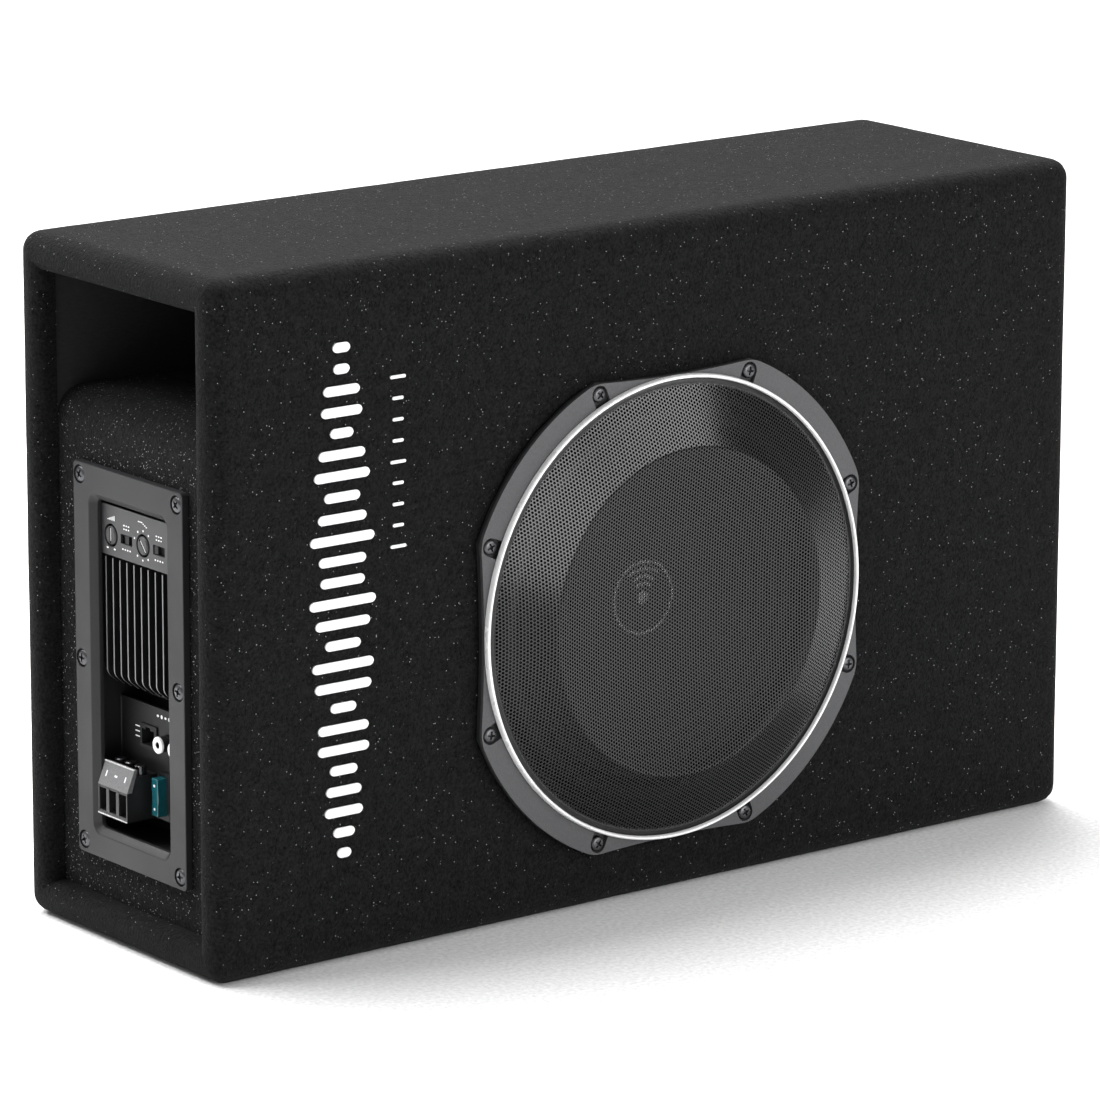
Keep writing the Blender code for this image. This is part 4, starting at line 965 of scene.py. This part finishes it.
# over the gain knob a rising scale, over the filter knob a falling curve and a ring of dots
marks = [mark(CONTROL_Z + 0.0078 + 0.00018 * k, GAIN_Y + 0.0030 - 0.0010 * k,
              0.0005 + 0.00036 * k, 0.0005) for k in range(7)]
marks += [mark(CONTROL_Z - 0.0066, GAIN_Y + y, 0.0008, 0.0016) for y in (0.0031, -0.0031)]
marks += [mark(CONTROL_Z + 0.0115 - max(k - 2, 0) * 0.00062, FILTER_Y + 0.0036 - 0.00135 * k,
               0.00055, 0.0012) for k in range(6)]
marks += [mark(CONTROL_Z + 0.0074 * math.cos(angle), FILTER_Y + 0.0078 * math.sin(angle),
               0.0011, 0.0011) for angle in map(math.radians, (-38, -2, 34, 70, 142, 178, 214))]
for y in (MODE_Y, POLARITY_Y):
    marks += [mark(CONTROL_Z + 0.0052 + 0.0018 * row, y + (k - 1) * 0.0020, 0.0007,
                   0.0010 + 0.0004 * ((k + row) % 2)) for row in range(2) for k in range(3)]
    marks += [mark(CONTROL_Z - 0.0050, y + (k - 1.5) * 0.0021, 0.0008, 0.0011) for k in range(4)]
piece("control_marks", joined("control_marks", marks), "ink", matrix=on_plate)


def knob(name, body, y, turn):
    """A trimmer: a disc with a bevelled rim, a slot and a light pointer line in it."""
    profile = [(0.0, 0.0005), (KNOB_RADIUS * 0.76, 0.0005), (KNOB_RADIUS * 0.84, 0.0001),
               (KNOB_RADIUS * 0.90, 0.0001), (KNOB_RADIUS * 0.93, -0.0002),
               (KNOB_RADIUS * 0.93, -0.0018), (0.0020, -0.0018), (0.0020, -0.0085), (0.0, -0.0085)]
    disc = lathe_mesh(name, profile, 48, False)
    slot = box_mesh("slot", (-0.0040, -0.0006, -0.0009), (0.0040, 0.0006, 0.002), 0.00005, 1)
    place = at(Vector((PLATE_FACE, y, CONTROL_Z)), "left", turn)
    piece(name + "_disc", cut(disc, [(slot, IN_PLACE)]), "knob",
          body=body, replaces=(name,), matrix=place)
    line = box_mesh(name + "_pointer", (-0.0030, -0.0005, -0.0012), (0.0036, 0.0005, 0.0001),
                    0.0001, 1)
    piece(name + "_pointer", line, "ink", body=body, matrix=place)


knob("gain_knob", "gain_control", GAIN_Y, 0)
knob("filter_knob", "filter_control", FILTER_Y, 220)

# ---- heatsink
fins = []
sink_low, sink_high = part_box("heatsink")
FIN_FRONT, FIN_TOP, FIN_FOOT = sink_low.x, sink_high.z, 0.1327
FIN_STEP, FIN_THICK = 0.00615, 0.0010
for i in range(10):
    y = PANEL_Y + (i - 4.5) * FIN_STEP
    outline = [(FIN_FRONT, FIN_TOP), (FIN_FRONT, FIN_FOOT + 0.0020),
               (FIN_FRONT + 0.0005, FIN_FOOT + 0.0004), (FIN_FRONT + 0.0016, FIN_FOOT - 0.0012),
               (FIN_FRONT + 0.006, FIN_FOOT - 0.005), (sink_high.x - 0.003, FIN_FOOT - 0.005),
               (sink_high.x - 0.003, FIN_TOP)]
    fins.append(plate_mesh("fin", [outline], -y - FIN_THICK / 2, -y + FIN_THICK / 2, 0.00016))
fins.append(box_mesh("fin_base", (sink_high.x - 0.004, -sink_high.y, sink_low.z),
                     (sink_high.x, -sink_low.y, sink_high.z)))
fins[-1].transform(Matrix.Rotation(math.radians(-90), 4, "X"))
heatsink = joined("finned_heatsink", fins)
for look in ("anodised", "bare"):
    heatsink.materials.append(LOOKS[look])
for polygon in heatsink.polygons:
    if polygon.normal.x < -0.45 and polygon.center.x < FIN_FRONT + 0.0062:
        polygon.material_index = 1
drawn_sideways = at(Vector((0, 0, 0)))
piece("finned_heatsink", heatsink, "anodised", replaces=("heatsink",),
      matrix=drawn_sideways)

# ---- connectors
bay_x = connector_low.x
on_bay = at(Vector((bay_x, 0, 0)), "left")
JACK_Y, JACK_Z = PANEL_Y + 0.0107, 0.1018
jack_low, jack_high = (JACK_Z - 0.0062, JACK_Y - 0.0072), (JACK_Z + 0.0062, JACK_Y + 0.0072)
jack_frame = ring_mesh("jack_frame", [
    (jack_low, jack_high, inset, radius, height) for inset, radius, height in
    ((0.0, 0.0008, -0.0004), (0.0001, 0.0007, 0.0011), (0.0010, 0.0004, 0.0012),
     (0.0011, 0.0004, -0.0004))], 3)
piece("jack_frame", jack_frame, "black", matrix=on_bay)
ring_profile = [(0.0017, 0.0055), (0.0017, 0.0062), (0.0020, 0.0065), (0.0038, 0.0065),
                (0.0042, 0.0061), (0.0042, 0.0052), (0.00405, 0.0052), (0.00405, 0.0061),
                (0.0020, 0.0061), (0.0020, 0.0055)]
for i, y in enumerate((PANEL_Y - 0.0050, PANEL_Y - 0.0180)):
    piece("phono_ring_%d" % (i + 1), lathe_mesh("phono_ring", ring_profile, 48), "white",
          matrix=at(Vector((bay_x, y, JACK_Z)), "left"))
signs = [mark(z, PANEL_Y - y, size_z, size_y) for z, y, size_z, size_y in
         ((0.0885, 0.0085, 0.0006, 0.0024), (0.0905, 0.0085, 0.0006, 0.0024),
          (0.1050, 0.0118, 0.0016, 0.0016), (0.0920, 0.0150, 0.0016, 0.0016))]
signs += [mark(0.1000 + 0.0026 * k, PANEL_Y + 0.0214, 0.0006, 0.0040) for k in range(3)]
signs += [mark(0.1140, PANEL_Y + 0.0035 - 0.0033 * k, 0.0012 + 0.0008 * (k % 2), 0.0018)
          for k in range(5)]
piece("connector_marks", joined("connector_marks", signs), "ink", matrix=on_bay)
plate_edge = box_mesh("plate_edge",
                      (bay_x - 0.0003, connector_high.y - 0.0009, connector_low.z + 0.001),
                      (bay_x + 0.0008, connector_high.y - 0.0003, connector_high.z - 0.001), 0.0001, 1)
piece("plate_edge", plate_edge, "knob")

# plug: a grey ledge over three wire openings, with fine ribs along its edges whose white is a painted
# highlight on those edges; these shapes are drawn as (x, z) from the front, and run along -y
PLUG_FOOT, LEDGE_FOOT, LEDGE_TOP = 0.0618, 0.0768, 0.0881
RIBS = 26
front_x = plug_low.x
near_y, far_y = -plug_high.y, -plug_low.y
ledge_top = Vector((front_x + 0.0045, 0, 0.0880))
ledge_foot = Vector((front_x, 0, 0.0770))
slope = ledge_top - ledge_foot
slope_out = Vector((-slope.z, 0, slope.x)).normalized()
plug_mid = (plug_low.y + plug_high.y) / 2
ledge_outline = [(front_x - 0.0001, LEDGE_FOOT), (ledge_top.x - 0.0001, LEDGE_TOP),
                 (ledge_top.x + 0.0018, LEDGE_TOP), (front_x + 0.0030, LEDGE_FOOT)]
ledge = plate_mesh("plug_ledge", [ledge_outline], near_y, far_y, 0.0002)
ledge.transform(Matrix.Translation(slope_out * 0.0002))
piece("plug_ledge", ledge, "label", body="plug", matrix=drawn_sideways)
ribs = []
for i in range(RIBS):
    y = near_y + (i + 0.5) * (far_y - near_y) / RIBS
    for z, x in ((0.0882, ledge_top.x - 0.0002), (0.0623, front_x - 0.0002)):
        ribs.append(box_mesh("rib", (x - 0.0004, z - 0.0004, y - 0.00022),
                             (x + 0.0004, z + 0.0003, y + 0.00022), 0.00008, 1))
bars = [box_mesh("sill", (front_x - 0.0002, PLUG_FOOT, near_y), (front_x + 0.0003, 0.0634, far_y),
                 0.0002)]
for y in (near_y + 0.0004, far_y - 0.0004):
    bars.append(box_mesh("side", (front_x - 0.0002, 0.0625, y - 0.0003),
                         (front_x + 0.0003, LEDGE_FOOT, y + 0.0003), 0.0001, 1))
for i in range(2):
    y = -(plug_mid + (i - 0.5) * 0.0086)
    bars.append(box_mesh("bar", (front_x - 0.0003, 0.0640, y - 0.0013),
                         (front_x + 0.0006, 0.0760, y + 0.0013), 0.0002))
# the ribs take the white look as painted highlights along the ledge's edges
for name, shapes, look in (("plug_ribs_painted_highlight", ribs, "white"), ("plug_bars", bars, "knob")):
    piece(name, joined(name, shapes), look, body="plug", matrix=drawn_sideways)
along_slope = Matrix((slope.normalized(), Vector((0, 1, 0)), slope_out)).transposed().to_4x4()
slope_mid = (ledge_top + ledge_foot) / 2 + slope_out * 0.0003
dots = []
for i, (long, wide) in enumerate(((0.0030, 0.0009), (0.0010, 0.0024), (0.0032, 0.0009))):
    outline = rounded((-long / 2, -wide / 2), (long / 2, wide / 2), 0.0004, 3)
    dot = plate_mesh("dot", [outline], 0.0, 0.0001, 0, 1)
    place = Vector((slope_mid.x, plug_mid + (i - 1) * 0.0082, slope_mid.z))
    dot.transform(Matrix.Translation(place) @ along_slope)
    dots.append(dot)
piece("plug_marks", joined("plug_marks", dots), "ink", body="plug")

# fuse: a tinted cap with two pale test points, laid over the CAD solid and its blades
SKIN = 0.0001
fuse_y = (fuse_low.y + fuse_high.y) / 2
cap = box_mesh("fuse_cap", fuse_low - Vector((SKIN, SKIN, SKIN)),
               (bay_x + 0.001, fuse_high.y + SKIN, fuse_high.z + SKIN), 0.0006, 3)
notch = box_mesh("notch", (fuse_low.x - 0.01, fuse_y - 0.01, fuse_low.z + 0.0065),
                 (fuse_low.x + 0.0005, fuse_y + 0.01, fuse_high.z - 0.0065), 0.0002, 1)
piece("fuse_cap", cut(cap, [(notch, IN_PLACE)]), "fuse", body="fuse")
point_profile = [(0, 0.0002), (0.0007, 0.0002), (0.0009, -0.0003), (0, -0.0003)]
points = []
for z in (fuse_low.z + 0.0036, fuse_high.z - 0.0036):
    point = lathe_mesh("fuse_point", point_profile, 20, False)
    point.transform(at(Vector((fuse_low.x, fuse_y, z)), "left"))
    points.append(point)
piece("fuse_points", joined("fuse_points", points), "white", body="fuse")

# ---- the CAD pieces that are shown
CAD_LOOKS = {
    "board": "amp_baffle bottom_panel front_baffle port_floor port_return rear_panel "
             "right_end_panel top_panel",
    # these parts sit in the bay and behind the panel, where their extra-dark black is partly painted
    # shade
    "shaded_black": "amp_housing connector_plate level_jack mode_switch polarity_switch rca_jacks",
    "black": "driver_terminals fuse_holder power_header power_plug",
    "screw": "terminal_screw_1 terminal_screw_2 terminal_screw_3",
    "zinc": "back_plate top_plate",
    "steel_black": "basket",
    "solder": "circuit_board",
    "fuse": "fuse",
    "ferrite": "magnet",
    "foam": "mounting_gasket",
    "spider": "spider",
    "copper": "voice_coil",
}
for look, names in CAD_LOOKS.items():
    for name in names.split():
        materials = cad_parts[name].data.materials
        materials.clear()
        materials.append(LOOKS[look])

bpy.context.view_layer.update()

# ---- floor, lights and world
bpy.ops.mesh.primitive_plane_add(size=40.0, location=(0, 0, 0))
floor = bpy.context.object
floor.name = "floor"
floor.data.materials.append(plastic("floor_sheet", (0.86, 0.86, 0.86), 0.9, 400.0, 0.00001))
floor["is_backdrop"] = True

world = bpy.data.worlds.new("world")
scene.world = world
world.use_nodes = True
surroundings = world.node_tree.nodes["Background"]
surroundings.inputs["Color"].default_value = (1, 1, 1, 1)
surroundings.inputs["Strength"].default_value = 0.50


def softbox(name, place, aim, size, power):
    """A rectangular area light at a place, turned towards another."""
    light = bpy.data.lights.new(name, "AREA")
    light.shape = "RECTANGLE"
    light.size, light.size_y = size
    light.energy = power
    obj = linked(name, light)
    obj.location = place
    obj.rotation_mode = "QUATERNION"
    obj.rotation_quaternion = (Vector(place) - Vector(aim)).to_track_quat("Z", "Y")


softbox("top_light", (0.1, 0.6, 1.9), (0, 0, 0.2), (1.5, 1.0), 49.0)
softbox("front_light", (0.12, -2.25, 0.56), (0, 0, 0.15), (1.1, 1.05), 21.0)
softbox("upper_light", (1.15, -1.85, 1.0), (0, 0, 0.15), (1.2, 0.6), 13.0)
softbox("left_light", (-1.15, 0.55, 1.7), (-0.25, 0, 0.15), (0.9, 0.7), 24.0)
softbox("rim_light", (-0.95, 2.3, 1.85), (-0.25, 0, 0.1), (1.3, 0.9), 32.0)
softbox("back_light", (2.6, 3.4, 2.6), (2.6, 3.4, 0.0), (7.0, 4.0), 260.0)

scene.view_settings.view_transform = "Standard"

low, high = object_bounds()
